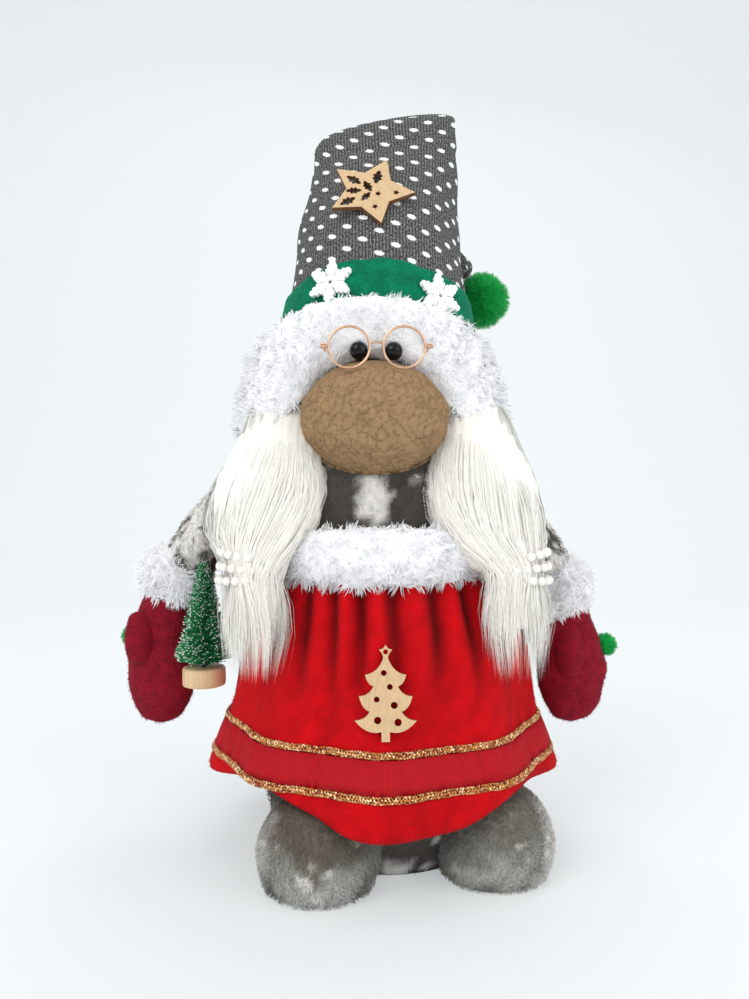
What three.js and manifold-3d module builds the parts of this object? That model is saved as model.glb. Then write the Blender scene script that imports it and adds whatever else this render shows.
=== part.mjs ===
// Fabric Christmas gnome: a weighted plush body with a gathered skirt, mittens, two tied bunches
// of wool hair, wire glasses and a tall folded hat.
// Millimetres. +Z is up, the gnome faces -Y, and left and right are as seen from the front.
import * as THREE from "three";
import { mergeVertices } from "three/addons/utils/BufferGeometryUtils.js";
import Module from "manifold-3d";

const wasm = await Module();
wasm.setup();

// Clearances
const seat = 0.3; // gap left between pieces that touch
const swingRoom = 0.6; // gap left round pieces that move
const past = 1; // how far a cutting tool runs past the end that it opens

// Body: a plush sleeve that is weighted at its foot and stuffed above
const baseRadius = 57;
const bellyRadius = 69;
const bellyHeight = 58;
const lowBellyShare = 0.4; // below this share of the belly's height the body draws in
const lowBellyIn = 3; // and there it is this much slimmer
const waistRadius = 60;
const waistHeight = 152;
const shoulderRadius = 58;
const shoulderHeight = 196;
const neckRadius = 51;
const neckHeight = 224;
const headRadius = 46.5;
const headHeight = 250;
const domeRadius = 41;
const domeHeight = 284;
const domeRise = 22;
const plushWall = 2.5;
const panelThickness = 1.5;
const boardThickness = 2.5;
const weightHeight = 42;
const headShift = 6; // the upper body leans this far to the left
const leanStart = 110;

// Feet
const footWidth = 57;
const footLength = 62;
const footHeight = 43;
const footWidest = 0.42; // share of its height at which the foot is widest
const soleSpread = 14; // how much flatter the foot is below its widest line than a ball
const toeSpread = 0.1; // the toe is wider than the heel by this share
const leftFootOut = 32;
const leftFootForward = 60;
const rightFootOut = 52;
const rightFootForward = 47;
const leftToeTurn = -10;
const rightToeTurn = 22;

// Skirt, ribbon and waist fur
const hemRadius = 97;
const hemHeight = 40.5;
const hemDrop = 4.5; // the hem hangs this much lower at the front, the sides and the back
const hemFrontDrop = 3;
const hemShift = -1.8; // the hem sits this far to the left of the body
const skirtMidRadius = 83.5;
const skirtMidHeight = 70;
const skirtHipRadius = 77.5;
const skirtHipHeight = 108;
const skirtTopRadius = 64.5;
const skirtTop = 156;
const skirtWall = 2.6;
const hemLip = 1; // the inside of the hem lies this much higher than the outside
const gatherDepth = 16; // the gathers are sharp down to this far below the skirt's top
const pleatCount = 22;
const pleatDepth = 1.5;
const hemWaveCount = 9;
const hemWaveDepth = 2.5;
const ribbonLow = 54.2;
const ribbonWidth = 12;
const ribbonThickness = 0.8;
const goldWidth = 4.8;
const goldThickness = 1.6;
const waistFurHeight = 157;
const waistFurFront = 12; // half thickness of the fur at the front, at the sides and at the back
const waistFurSide = 5.5;
const waistFurBack = 9;
const waistFurTall = 17.5; // half height at the front
const waistFurShort = 12; // half height at the sides
const waistFurRidge = 0.62; // its middle lies this share of its half thickness off the body

// Nose and eyes
const noseWidth = 74;
const noseDepth = 60;
const noseHeight = 57;
const noseForward = 50;
const noseLevel = 225.5;
const noseWall = 2;
const eyeRadius = 4.5;
const eyeSpacing = 17;
const eyeForward = 58;
const eyeHole = 0.8;
const eyeRight = 0.8; // the eyes sit this far to the right of the nose's middle
const eyeLift = 0.5; // gap that the nose's nap keeps under them
const eyeTilt = 8; // degrees that each bead leans on its thread

// Glasses of copper wire
const rimRadius = 9.8;
const wireRadius = 0.55;
const rimSpacing = 26;
const rimLevel = 256.9;
const rimForward = 71.5;
const templeLength = 30;
const hingeLoopRadius = 1.5;
const bridgeRise = 2.2;
const bridgeLap = 0.4; // the bridge's ends lap the rims by this much
const glassesRight = 0.9; // the glasses sit this far to the right of the nose's middle
const glassesTravel = 36; // how far they slide off forwards

// Hat: a knitted cone that folds over at its top, with a felt band and a fur brim
const crownLow = 262;
const crownLowWidth = 111;
const crownLowDepth = 109;
const crownBandWidth = 97;
const crownBandDepth = 95;
const crownBandHeight = 304;
const crownMidWidth = 91;
const crownMidDepth = 82;
const crownMidHeight = 333;
const crownSwell = 2.5; // the crown is this much fuller half way up to its top
const crownTopWidth = 81;
const crownTopDepth = 36;
const crownTopHeight = 381;
const foldHeight = 393;
const crownTopTuck = 1; // each end of the fold tucks in this much
const crownTopSway = 0.3; // the top sits this far to the right
const crownTurnDrop = 6; // the crown rounds over from this far below its top
const foldSlope = 11; // degrees that the fold rises to the right
const foldSlopeRun = 10; // the crown starts to lean this far below its middle
const foldBack = 8;
const foldRadius = 10; // in the fold's middle; it thins towards both ends
const knitWall = 2;
const stuffingDip = 6; // the hat's stuffing reaches this far down round the top of the head
const tailOut = 52.2; // the tail's tip hangs this far to the right of the fold's middle
const tailDrop = 69; // and this far below it
const tailBow = 33; // the tail's back bows out this far behind the fold
const tailTipBack = 25;
const tailTipRadius = 4.5;
const tailHalfDepth = 6;
const tailTuck = 3; // the tail starts this much inside each end of the fold
const hatPompomRadius = 18;
const bandLow = 279;
const bandWidth = 25.5;
const bandDrop = 10; // the band hangs this much lower at the sides and the back
const feltThickness = 1.5;
const liningLow = 228;
const liningHigh = 250;
const liningThickness = 1.8;
const brimFront = 268; // height of the brim's middle at the front, and its half height there
const brimFrontTall = 18;
const brimFrontTuck = 28; // degrees that the brim tucks in under itself at the front
const brimSide = 249;
const brimSideTall = 33;
const brimFrontRadius = 55.5;
const brimSideRadius = 64;
const brimThick = 11.5; // half thickness
const brimFlare = 15.5; // degrees that the brim flares at the sides
const brimShift = -1.6; // the brim sits this far to the left of the head

// Hair: two bunches of wool, each tied with a string of pearls
const hairTopHeight = 233;
const hairTieHeight = 152;
const hairEndHeight = 102;
const hairRootWidth = 17; // half width and half depth where it comes out under the brim
const hairRootDepth = 8;
const hairFullWidth = 30; // and at its widest
const hairFullDepth = 19;
const tieHalfWidth = 12;
const tieHalfDepth = 9.5;
const tailHalfWidth = 17;
const leftHairOut = 57; // how far out each bunch hangs at its widest, and at its tie
const rightHairOut = 47;
const leftTieOut = 66;
const rightTieOut = 63;
const hairRootIn = 4; // the roots lie this far inside the widest part
const hairBellyOut = 6; // below its widest part the bunch hangs this much further out
const hairTailIn = 4; // the loose tails hang this far inside their ties
const hairRootForward = 42; // distance in front of the body's axis, from the brim downwards
const hairFullForward = 49;
const hairBellyForward = 54;
const hairTieForward = 62;
const hairTailForward = 68;
const hairPivotDrop = 3; // each bunch swings about a line this far below its roots
const hairPivotForward = 44;
const hairSwing = 20; // degrees that each bunch lifts forwards
const pearlRadius = 2.4;
const pearlCount = 12;
const pearlTilt = 24;
const threadRadius = 0.5;

// Arms: plush sleeve, fur cuff and felt mitten
const sleeveRadius = 16.5;
const wristRadius = 12.5;
const armBow = 6.5; // the sleeves bow upwards this much
const armRootIn = 3; // the sleeve's line starts this far inside the body's side
const sleeveEnd = 2; // the sleeve ends this far below the cuff's middle, inside it
const leftCuffOut = 119;
const leftCuffLevel = 140;
const leftCuffTilt = 22;
const rightCuffOut = 98;
const rightCuffLevel = 133;
const rightCuffTilt = 36;
const cuffRadius = 21.5;
const cuffHalfHeight = 18;
const mittenOut = 6.5; // the palm hangs this much further out than the cuff
const mittenForward = 3; // and this far in front of the arm
const cuffForward = 1;
const mittenHalfWidth = 18.8;
const mittenHalfDepth = 14;
const mittenLow = 61;
const mittenTipRise = 16; // the mitten narrows from this far above its tip
const mittenWristDrop = 20; // and widens down to this far below the cuff's middle
const knuckleDrop = 18; // the thumb starts this far below the cuff's middle
const thumbRadius = 7;
const thumbLength = 27;
const mittenPompomRadius = 6.8;
const mittenPompomRise = 6; // the pompoms sit this far above the mittens' middles
const leftPompomBack = 9; // the left one sits this far back on its mitten

// Bottle-brush tree on a turned wooden foot, held beside the left mitten
const treeFootRadius = 11.5;
const treeFootHeight = 10;
const treeHeight = 71;
const treeLow = 84.5;
const treeInset = 20.6; // the tree stands this far inside the left cuff
const treeForward = 18;
const bristleLowReach = 14.5;
const bristleTopReach = 3.6;
const bristleRows = 20;
const bristleSides = 8; // each row holds two bristles a side
const coreRadius = 1.3;
const bristleRise = 0.3; // the bristles slant up by this share of their length
const trunkRadius = 0.9;
const trunkSocket = 6;
const trunkShow = 1.5; // bare wire between the foot and the lowest bristles
const trunkTip = 3.5; // and above the highest ones
const wireSwell = 0.7; // length over which the bare wire thickens into the brush
const footEdge = 0.8; // bevel on the foot's edges

// Plywood and resin ornaments
const plyThickness = 2.5;
const plateGap = 0.55; // gap under the middle of a plate that lies on a curved surface
const starRadius = 22.5;
const starWaist = 0.54;
const starLevel = 344;
const starSide = -8.5;
const starTurn = -22;
const firHeight = 43;
const firLevel = 96.5;
const flakeRadius = 12.4;
const flakeThickness = 2.2;
const leftFlakeLevel = 294;
const rightFlakeLevel = 291;
const leftFlakeTurn = -27;
const rightFlakeTurn = 35;

const beyond = foldHeight; // blocks that cut a piece off reach past the whole figure

const { cos, sin, PI, sqrt, max, min, abs, hypot, tan, atan2 } = Math;
const degrees = PI / 180;
const vec = (x, y, z) => new THREE.Vector3(x, y, z);

// Materials
const finish = (color, roughness, metalness = 0) =>
  new THREE.MeshStandardMaterial({ color, roughness, metalness });
const finishes = {
  plush: finish("#8b8a86", 0.95),
  fur: finish("#f4f4f6", 0.95),
  redFleece: finish("#b80d14", 0.95),
  redFelt: finish("#8e1a2b", 0.95),
  redRibbon: finish("#a8161c", 0.7),
  gold: finish("#b9863a", 0.45, 0.5),
  greenFelt: finish("#0b6e4a", 0.95),
  knit: finish("#58595c", 0.9),
  wool: finish("#ece8dc", 0.85),
  noseFleece: finish("#b18c69", 0.95),
  bead: finish("#0b0b0d", 0.12),
  copper: finish("#c98a64", 0.25, 0.95),
  pearl: finish("#f3efe4", 0.3),
  resin: finish("#f5f5f5", 0.5),
  ply: finish("#dab98c", 0.7),
  wood: finish("#dcb58f", 0.65),
  greenPompom: finish("#0d7c2c", 0.95),
  bristles: finish("#146b3c", 0.7),
  card: finish("#a98d6a", 0.9),
  stuffing: finish("#efefec", 1),
  weight: finish("#cfc7b6", 0.9),
};

// Solids: a geometry with its shared vertices merged, as a manifold, and back again
function solidOf(geometry) {
  const bare = new THREE.BufferGeometry();
  bare.setAttribute("position", geometry.getAttribute("position"));
  bare.setIndex(geometry.index);
  const merged = mergeVertices(bare, 1e-4);
  return new wasm.Manifold(
    new wasm.Mesh({
      numProp: 3,
      vertProperties: merged.attributes.position.array,
      triVerts: new Uint32Array(merged.index.array),
    }),
  );
}

function geometryOf(solid) {
  const { vertProperties, triVerts } = solid.getMesh();
  const geometry = new THREE.BufferGeometry();
  geometry.setAttribute(
    "position",
    new THREE.BufferAttribute(vertProperties, 3),
  );
  geometry.setIndex(new THREE.BufferAttribute(triVerts, 1));
  geometry.computeVertexNormals();
  return geometry;
}

const asSolid = (shape) => (shape.isBufferGeometry ? solidOf(shape) : shape);
const cut = (shape, ...tools) =>
  tools.reduce((left, tool) => left.subtract(asSolid(tool)), asSolid(shape));
const join = (...shapes) =>
  shapes.map(asSolid).reduce((whole, shape) => whole.add(shape));

// The largest piece of a solid, without the crumbs that a cut can leave
function mainBody(solid) {
  return solid
    .decompose()
    .reduce((best, body) => (body.volume() > best.volume() ? body : best));
}

// A closed geometry from points and faces, with its faces turned outwards
function closedGeometry(points, faces) {
  let volume = 0;
  for (let i = 0; i < faces.length; i += 3) {
    const [a, b, c] = faces.slice(i, i + 3).map((k) => points[k]);
    volume += a.dot(b.clone().cross(c));
  }
  if (volume < 0) faces.reverse();
  const geometry = new THREE.BufferGeometry().setFromPoints(points);
  geometry.setIndex(faces);
  return geometry;
}

// A ball-like surface: turn runs once round, and step runs from one pole to the other
function ballSurface(pointAt, around, along) {
  const points = [pointAt(0, 0)];
  for (let j = 1; j < along; j++)
    for (let i = 0; i < around; i++)
      points.push(pointAt(i / around, j / along));
  points.push(pointAt(0, 1));
  const last = points.length - 1;
  const index = (i, j) => 1 + (j - 1) * around + (i % around);
  const faces = [];
  for (let i = 0; i < around; i++) {
    faces.push(0, index(i + 1, 1), index(i, 1));
    faces.push(last, index(i, along - 1), index(i + 1, along - 1));
    for (let j = 1; j < along - 1; j++) {
      faces.push(index(i, j), index(i + 1, j), index(i + 1, j + 1));
      faces.push(index(i, j), index(i + 1, j + 1), index(i, j + 1));
    }
  }
  return closedGeometry(points, faces);
}

// A ring-like surface: turn runs once round, and step runs once round the ring's section
function ringSurface(pointAt, around, across) {
  const points = [];
  for (let i = 0; i < around; i++)
    for (let j = 0; j < across; j++)
      points.push(pointAt(i / around, j / across));
  const index = (i, j) => (i % around) * across + (j % across);
  const faces = [];
  for (let i = 0; i < around; i++)
    for (let j = 0; j < across; j++) {
      faces.push(index(i, j), index(i + 1, j), index(i + 1, j + 1));
      faces.push(index(i, j), index(i + 1, j + 1), index(i, j + 1));
    }
  return closedGeometry(points, faces);
}

// A smooth curve through pairs of height and value
function curveThrough(pairs) {
  const last = pairs.length - 1;
  const slopeAt = (k) => {
    const [h0, v0] = pairs[max(k - 1, 0)];
    const [h1, v1] = pairs[min(k + 1, last)];
    return (v1 - v0) / (h1 - h0);
  };
  return (height) => {
    const above = pairs.findIndex(([h]) => h > height);
    const k = above < 0 ? last - 1 : max(above - 1, 0);
    const [h0, v0] = pairs[k];
    const [h1, v1] = pairs[k + 1];
    const span = h1 - h0;
    const t = THREE.MathUtils.clamp((height - h0) / span, 0, 1);
    const rise = t * t * (3 - 2 * t);
    return (
      v0 * (1 - rise) +
      v1 * rise +
      span * (slopeAt(k) * t * (1 - t) ** 2 - slopeAt(k + 1) * t * t * (1 - t))
    );
  };
}

// A stuffed limb: rounded sections along a smooth path. Each station gives the path's point, the
// half width, the half depth, and the direction that the depth is measured in.
function limb(stations, { grow = 0, around = 16, along = 14, round = 0.12 }) {
  const path = new THREE.CatmullRomCurve3(stations.map((s) => s.at));
  const sizes = new THREE.CatmullRomCurve3(
    stations.map((s) => vec(s.wide, s.deep, 0)),
  );
  const facing = new THREE.CatmullRomCurve3(
    stations.map((s) => s.out ?? vec(0, -1, 0)),
  );
  return ballSurface(
    (turn, step) => {
      const t = (1 - cos(PI * step)) / 2;
      const end = min(t, 1 - t) / round;
      const fill = end < 1 ? sqrt(max(0, 1 - (1 - end) ** 2)) : 1;
      const along = path.getTangent(t);
      const side = along.clone().cross(facing.getPoint(t)).normalize();
      const out = side.clone().cross(along).normalize();
      const size = sizes.getPoint(t);
      const angle = 2 * PI * turn;
      return path
        .getPoint(t)
        .addScaledVector(side, (size.x + grow) * fill * cos(angle))
        .addScaledVector(out, (size.y + grow) * fill * sin(angle))
        .addScaledVector(along, grow * (t < 0.5 ? -1 : 1) * (1 - fill));
    },
    around,
    along,
  );
}

// An ellipsoid with its middle at the given point
function ellipsoid(middle, halfX, halfY, halfZ, around = 24, along = 14) {
  return ballSurface(
    (turn, step) => {
      const ring = sin(PI * step);
      return vec(
        middle.x + halfX * ring * cos(2 * PI * turn),
        middle.y + halfY * ring * sin(2 * PI * turn),
        middle.z - halfZ * cos(PI * step),
      );
    },
    around,
    along,
  );
}

// An upright cylinder that stands at the given height
function disc(radius, low, high, segments = 24) {
  return new THREE.CylinderGeometry(radius, radius, high - low, segments)
    .rotateX(PI / 2)
    .translate(0, 0, (low + high) / 2);
}

function block(low, high) {
  const size = high.clone().sub(low);
  const middle = high.clone().add(low).multiplyScalar(0.5);
  return new THREE.BoxGeometry(size.x, size.y, size.z).translate(...middle);
}

// The body's outline and its lean to the left
const leanAt = (height) =>
  -headShift * THREE.MathUtils.smoothstep(height, leanStart, shoulderHeight);
const bodyCurve = curveThrough([
  [0, baseRadius],
  [bellyHeight * lowBellyShare, bellyRadius - lowBellyIn],
  [bellyHeight, bellyRadius],
  [waistHeight, waistRadius],
  [shoulderHeight, shoulderRadius],
  [neckHeight, neckRadius],
  [headHeight, headRadius],
  [domeHeight, domeRadius],
]);
function bodyRadiusAt(height, grow = 0) {
  const over = (height - domeHeight) / (domeRise + grow);
  const radius = bodyCurve(height) + grow;
  return over > 0 ? radius * sqrt(max(0, 1 - over * over)) : radius;
}

// A solid of round sections stacked on the body's line, closed by flat ends
function stack(heights, radiusAt, around = 20) {
  const rows = heights.length + 1;
  return ballSurface(
    (turn, step) => {
      const row = Math.round(step * rows);
      const height = heights[min(max(row - 1, 0), heights.length - 1)];
      const radius = row === 0 || row === rows ? 0 : radiusAt(height);
      return vec(
        leanAt(height) + radius * sin(2 * PI * turn),
        -radius * cos(2 * PI * turn),
        height,
      );
    },
    around,
    rows,
  );
}

const steps = (low, high, count) =>
  Array.from({ length: count + 1 }, (_, k) => low + ((high - low) * k) / count);

function bodySolid(grow, low = -grow) {
  const domeTop = domeHeight + domeRise + grow;
  const dome = [0.45, 0.8, 0.96].map(
    (share) => domeHeight + (domeTop - domeHeight) * share,
  );
  const heights = [
    low,
    bellyHeight * lowBellyShare,
    bellyHeight,
    (bellyHeight + waistHeight) / 2,
    waistHeight,
    shoulderHeight,
    neckHeight,
    headHeight,
    domeHeight,
    ...dome,
  ];
  return solidOf(stack(heights, (height) => bodyRadiusAt(height, grow)));
}

const bodyOuter = bodySolid(0);
const bodyRoom = bodySolid(seat);
const bodyInside = bodySolid(-plushWall, -past);
const stuffingSpace = bodySolid(-plushWall - seat, 0);
const bodyCover = cut(bodyOuter, bodyInside);
const panelRadius = baseRadius - plushWall - seat;
const basePanel = disc(panelRadius, 0, panelThickness);
const boardTop = panelThickness + seat + boardThickness;
const baseBoard = disc(panelRadius - seat, panelThickness + seat, boardTop);
const slab = (low, high) => block(vec(-beyond, -beyond, low), vec(beyond, beyond, high));
const weightBag = stuffingSpace.intersect(
  solidOf(slab(boardTop + seat, weightHeight)),
);
const bodyStuffing = cut(stuffingSpace, slab(-past, weightHeight + seat));

// Skirt: a flared tube with pleats that fade downwards and waves that grow towards the hem
const skirtCurve = curveThrough([
  [hemHeight - hemDrop, hemRadius],
  [skirtMidHeight, skirtMidRadius],
  [skirtHipHeight, skirtHipRadius],
  [skirtTop, skirtTopRadius],
]);
const fallAt = (height) => (skirtTop - height) / (skirtTop - hemHeight);
const pleatsAt = (height) =>
  pleatDepth * max(0, 1 - fallAt(height) * 1.5) * (1 + 2 * fallAt(height));
const wavesAt = (height) => hemWaveDepth * max(0, fallAt(height) * 1.3 - 0.3);
const skirtRadiusAt = (angle, height) =>
  skirtCurve(height) +
  pleatsAt(height) * cos(pleatCount * angle) +
  wavesAt(height) * cos(hemWaveCount * angle);
const hemAt = (angle) =>
  hemHeight -
  hemDrop * cos(4 * angle) -
  hemFrontDrop * max(0, cos(angle)) ** 12;
const aroundSkirt = (angle, radius, height) =>
  vec(
    leanAt(height) + hemShift * max(0, fallAt(height)) + radius * sin(angle),
    -radius * cos(angle),
    height,
  );

const ribbonHigh = ribbonLow + ribbonWidth;
const goldRise = goldWidth / 2 + seat;
const skirtRows = [
  skirtTop,
  skirtTop - gatherDepth,
  skirtHipHeight,
  ribbonHigh + goldWidth + seat,
  (ribbonLow + ribbonHigh) / 2,
  ribbonLow - goldWidth - seat,
];
const skirtInsideRows = [skirtMidHeight, skirtHipHeight, skirtTop];
const skirtSides = pleatCount * 3;
// The section runs down the outside, round the rolled hem and up the inside
function skirtShell() {
  const rows = skirtRows.length;
  const across = rows + 2 + skirtInsideRows.length;
  return ringSurface(
    (turn, step) => {
      const angle = 2 * PI * turn;
      const k = Math.round(step * across);
      const hem = hemAt(angle);
      if (k < rows)
        return aroundSkirt(angle, skirtRadiusAt(angle, skirtRows[k]), skirtRows[k]);
      const radius = skirtRadiusAt(angle, hem);
      if (k === rows) return aroundSkirt(angle, radius - skirtWall * 0.4, hem);
      if (k === rows + 1) return aroundSkirt(angle, radius - skirtWall, hem + hemLip);
      const height = skirtInsideRows[k - rows - 2];
      return aroundSkirt(angle, skirtRadiusAt(angle, height) - skirtWall, height);
    },
    skirtSides,
    across,
  );
}
const skirt = solidOf(skirtShell());

// A flat band laid on the skirt between two heights
function skirtBand(low, high, gap, thickness) {
  const section = [
    [low, gap],
    [low, gap + thickness],
    [high, gap + thickness],
    [high, gap],
  ];
  return ringSurface(
    (turn, step) => {
      const [height, off] = section[Math.round(step * section.length)];
      const angle = 2 * PI * turn;
      return aroundSkirt(angle, skirtRadiusAt(angle, height) + off, height);
    },
    skirtSides,
    section.length,
  );
}
// A rounded cord of gold thread along one edge of the ribbon
function goldEdge(middle) {
  const half = goldWidth / 2;
  const section = [
    [-half, 0],
    [0, 1],
    [half, 0],
  ];
  return ringSurface(
    (turn, step) => {
      const [rise, share] = section[Math.round(step * section.length)];
      const angle = 2 * PI * turn;
      const height = middle + rise;
      const radius =
        skirtRadiusAt(angle, height) + seat + share * goldThickness;
      return aroundSkirt(angle, radius, height);
    },
    skirtSides,
    section.length,
  );
}

// Waist fur: a soft roll over the skirt's top edge, thick at the front and thin under the arms
const skirtRoom = solidOf(
  stack(
    [skirtMidHeight, skirtHipHeight, skirtTop - gatherDepth, skirtTop, skirtTop + seat],
    (height) => skirtCurve(height) + pleatsAt(height) + wavesAt(height) + 2 * seat,
    pleatCount,
  ),
);
function waistFurSection(angle) {
  const front = max(0, cos(angle)) ** 1.2;
  const back = max(0, -cos(angle)) ** 1.2;
  const thick =
    waistFurSide +
    (waistFurFront - waistFurSide) * front +
    (waistFurBack - waistFurSide) * back;
  const tall = waistFurShort + (waistFurTall - waistFurShort) * max(front, back);
  return { thick, tall, ridge: bodyRadiusAt(waistFurHeight) + thick * waistFurRidge };
}
const aroundWaist = (angle, radius, height) =>
  vec(leanAt(waistFurHeight) + radius * sin(angle), -radius * cos(angle), height);
function waistFurRoll(grow = 0) {
  return ringSurface(
    (turn, step) => {
      const angle = 2 * PI * turn;
      const { thick, tall, ridge } = waistFurSection(angle);
      const around = 2 * PI * step;
      return aroundWaist(
        angle,
        ridge + (thick + grow) * cos(around),
        waistFurHeight + (tall + grow) * sin(around),
      );
    },
    24,
    8,
  );
}
// The space inside the fur's ridge, up to its top
const insideFur = ballSurface(
  (turn, step) => {
    const row = Math.round(step * 3);
    const { tall, ridge } = waistFurSection(2 * PI * turn);
    const top = row === 3 ? waistFurTall : tall;
    return aroundWaist(
      2 * PI * turn,
      row % 3 === 0 ? 0 : ridge,
      waistFurHeight + (row < 2 ? 0 : top + seat),
    );
  },
  24,
  3,
);
const waistFur = mainBody(cut(waistFurRoll(), bodyRoom, skirtRoom));

// Feet: stuffed plush shoes with flat soles, set against the body and clear of the skirt
const underSkirt = solidOf(
  ringSurface(
    (turn, step) => {
      const angle = 2 * PI * turn;
      const corner = Math.round(step * 4);
      const low = corner === 0 || corner === 3;
      const height = low ? hemAt(angle) - seat : skirtHipHeight;
      const inner = skirtRadiusAt(angle, height) - skirtWall - 2 * seat;
      return aroundSkirt(angle, corner < 2 ? inner : inner + footLength, height);
    },
    36,
    4,
  ),
);
function foot(out, forward, toeTurn) {
  const turned = toeTurn * degrees;
  const sole = footHeight * footWidest;
  const shape = ballSurface(
    (turn, step) => {
      const ring = sin(PI * step) ** 0.85;
      const angle = 2 * PI * turn;
      const across = (footWidth / 2) * ring * sin(angle);
      const toe = (footLength / 2) * ring * -cos(angle);
      const instep = 1 + toeSpread * cos(angle);
      const rise =
        step < 0.5
          ? -(sole + soleSpread) * cos(PI * step)
          : -(footHeight - sole) * cos(PI * step);
      return vec(
        out + across * instep * cos(turned) - toe * sin(turned),
        -forward + across * sin(turned) + toe * cos(turned),
        sole + rise,
      );
    },
    18,
    10,
  );
  return mainBody(cut(shape, slab(-beyond, 0), bodyRoom, underSkirt));
}
const footLeft = foot(-leftFootOut, leftFootForward, leftToeTurn);
const footRight = foot(rightFootOut, rightFootForward, rightToeTurn);

// Nose: a stuffed fleece ball on the front of the head
const noseMiddle = vec(leanAt(noseLevel), -noseForward, noseLevel);
const noseBall = (grow, around, along) =>
  ellipsoid(
    noseMiddle,
    noseWidth / 2 + grow,
    noseDepth / 2 + grow,
    noseHeight / 2 + grow,
    around,
    along,
  );
const noseWhole = mainBody(cut(noseBall(0, 20, 10), bodyRoom));
const noseHollow = solidOf(noseBall(-noseWall, 14, 8));
const noseCover = mainBody(cut(noseWhole, noseHollow));
const noseStuffing = mainBody(
  cut(noseBall(-noseWall - 2 * seat, 14, 8), bodyRoom),
);
const noseRoom = solidOf(noseBall(seat, 20, 10));

// How high the nose's skin stands at a point seen from above
function noseTopAt(x, y) {
  const across = (x - noseMiddle.x) / (noseWidth / 2);
  const along = (y - noseMiddle.y) / (noseDepth / 2);
  return (
    noseMiddle.z + (noseHeight / 2) * sqrt(1 - across * across - along * along)
  );
}

// Eyes: black beads with a threading hole, resting on the nose
function eyeAt(side) {
  const x = noseMiddle.x + (side * eyeSpacing) / 2 + eyeRight;
  const y = -eyeForward;
  return vec(x, y, noseTopAt(x, y) + eyeRadius + eyeLift);
}
function eyeBead() {
  const start = Math.asin(eyeHole / eyeRadius);
  const profile = steps(start, PI - start, 7).map(
    (angle) =>
      new THREE.Vector2(eyeRadius * sin(angle), -eyeRadius * cos(angle)),
  );
  profile.push(profile[0].clone());
  return new THREE.LatheGeometry(profile, 12);
}
const ball = (middle, radius, around, along) =>
  ellipsoid(middle, radius, radius, radius, around, along);
const eyeRoom = (side) => ball(eyeAt(side), eyeRadius + swingRoom, 10, 6);

// Glasses: two wire rims and a bridge in one plane, with hinge loops and straight temples
const glassesMiddle = vec(noseMiddle.x + glassesRight, -rimForward, rimLevel);
const loopWire = wireRadius * 0.8;
const loopReach = hingeLoopRadius - loopWire;
const loopOut = rimSpacing / 2 + rimRadius + wireRadius + loopWire + loopReach + seat;
const templeRise = 2 * loopWire + seat;
function wire(points, segments = 4, radius = wireRadius, sides = 6) {
  const section = new THREE.Shape(
    steps(0, sides - 1, sides - 1).map(
      (k) =>
        new THREE.Vector2(
          radius * cos((2 * PI * k) / sides),
          radius * sin((2 * PI * k) / sides),
        ),
    ),
  );
  return new THREE.ExtrudeGeometry(section, {
    steps: segments,
    bevelEnabled: false,
    extrudePath: new THREE.CatmullRomCurve3(points),
  });
}
function rim(side) {
  return new THREE.TorusGeometry(rimRadius, wireRadius, 5, 22)
    .rotateX(PI / 2)
    .translate((side * rimSpacing) / 2, 0, 0);
}
// A flat loop of thinner wire beside the rim, which the temple's own loop sits on
const hingeLoop = (side, height, reach = loopReach) =>
  new THREE.TorusGeometry(reach, loopWire, 5, 9).translate(
    side * loopOut,
    0,
    height,
  );
function glassesFrame() {
  const inner = rimSpacing / 2 - rimRadius;
  const bridge = wire([
    vec(-inner - bridgeLap, 0, bridgeRise * 0.8),
    vec(0, 0, bridgeRise),
    vec(inner + bridgeLap, 0, bridgeRise * 0.8),
  ]);
  const frameLoop = (side) => hingeLoop(side, 0, loopReach + seat + loopWire * 0.6);
  return join(rim(-1), rim(1), frameLoop(-1), frameLoop(1), bridge);
}
// A temple: a loop on the frame's loop, then a straight wire back under the brim
function temple(side) {
  const bar = wire(
    [
      vec(side * loopOut, loopReach, templeRise),
      vec(side * loopOut, templeLength, templeRise),
    ],
    1,
  );
  return join(hingeLoop(side, templeRise), bar);
}
// The space that a temple needs when the glasses slide forward
function templeRoom(side) {
  const middle = glassesMiddle.clone().add(vec(side * loopOut, 0, templeRise));
  const half = wireRadius + swingRoom;
  return block(
    middle.clone().add(vec(-half, -glassesTravel, -half)),
    middle.clone().add(vec(half, templeLength + swingRoom, half)),
  );
}

// Hat crown: sections that start round and flatten towards the fold
const bandHigh = bandLow + bandWidth;
const crownWidthAt = curveThrough([
  [crownLow, crownLowWidth / 2],
  [crownBandHeight, crownBandWidth / 2],
  [crownMidHeight, crownMidWidth / 2],
  [crownTopHeight, crownTopWidth / 2],
  [foldHeight, crownTopWidth / 2 - crownTopTuck],
]);
const crownDepthAt = curveThrough([
  [crownLow, crownLowDepth / 2],
  [crownBandHeight, crownBandDepth / 2],
  [crownMidHeight, crownMidDepth / 2],
  [(crownMidHeight + crownTopHeight) / 2, (crownMidDepth + crownTopDepth) / 4 + crownSwell],
  [crownTopHeight, crownTopDepth / 2],
  [foldHeight, foldRadius],
]);
const crownSwayAt = curveThrough([
  [crownLow, leanAt(headHeight) + 1],
  [crownBandHeight, -headShift * 0.6],
  [crownMidHeight, -headShift * 0.6],
  [foldHeight, crownTopSway],
]);
const crownMiddleAt = (height) => {
  const up = THREE.MathUtils.smoothstep(height, crownLow, foldHeight);
  return { x: crownSwayAt(height), y: foldBack * 0.8 * up };
};
const foldRise = tan(foldSlope * degrees);
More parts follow.
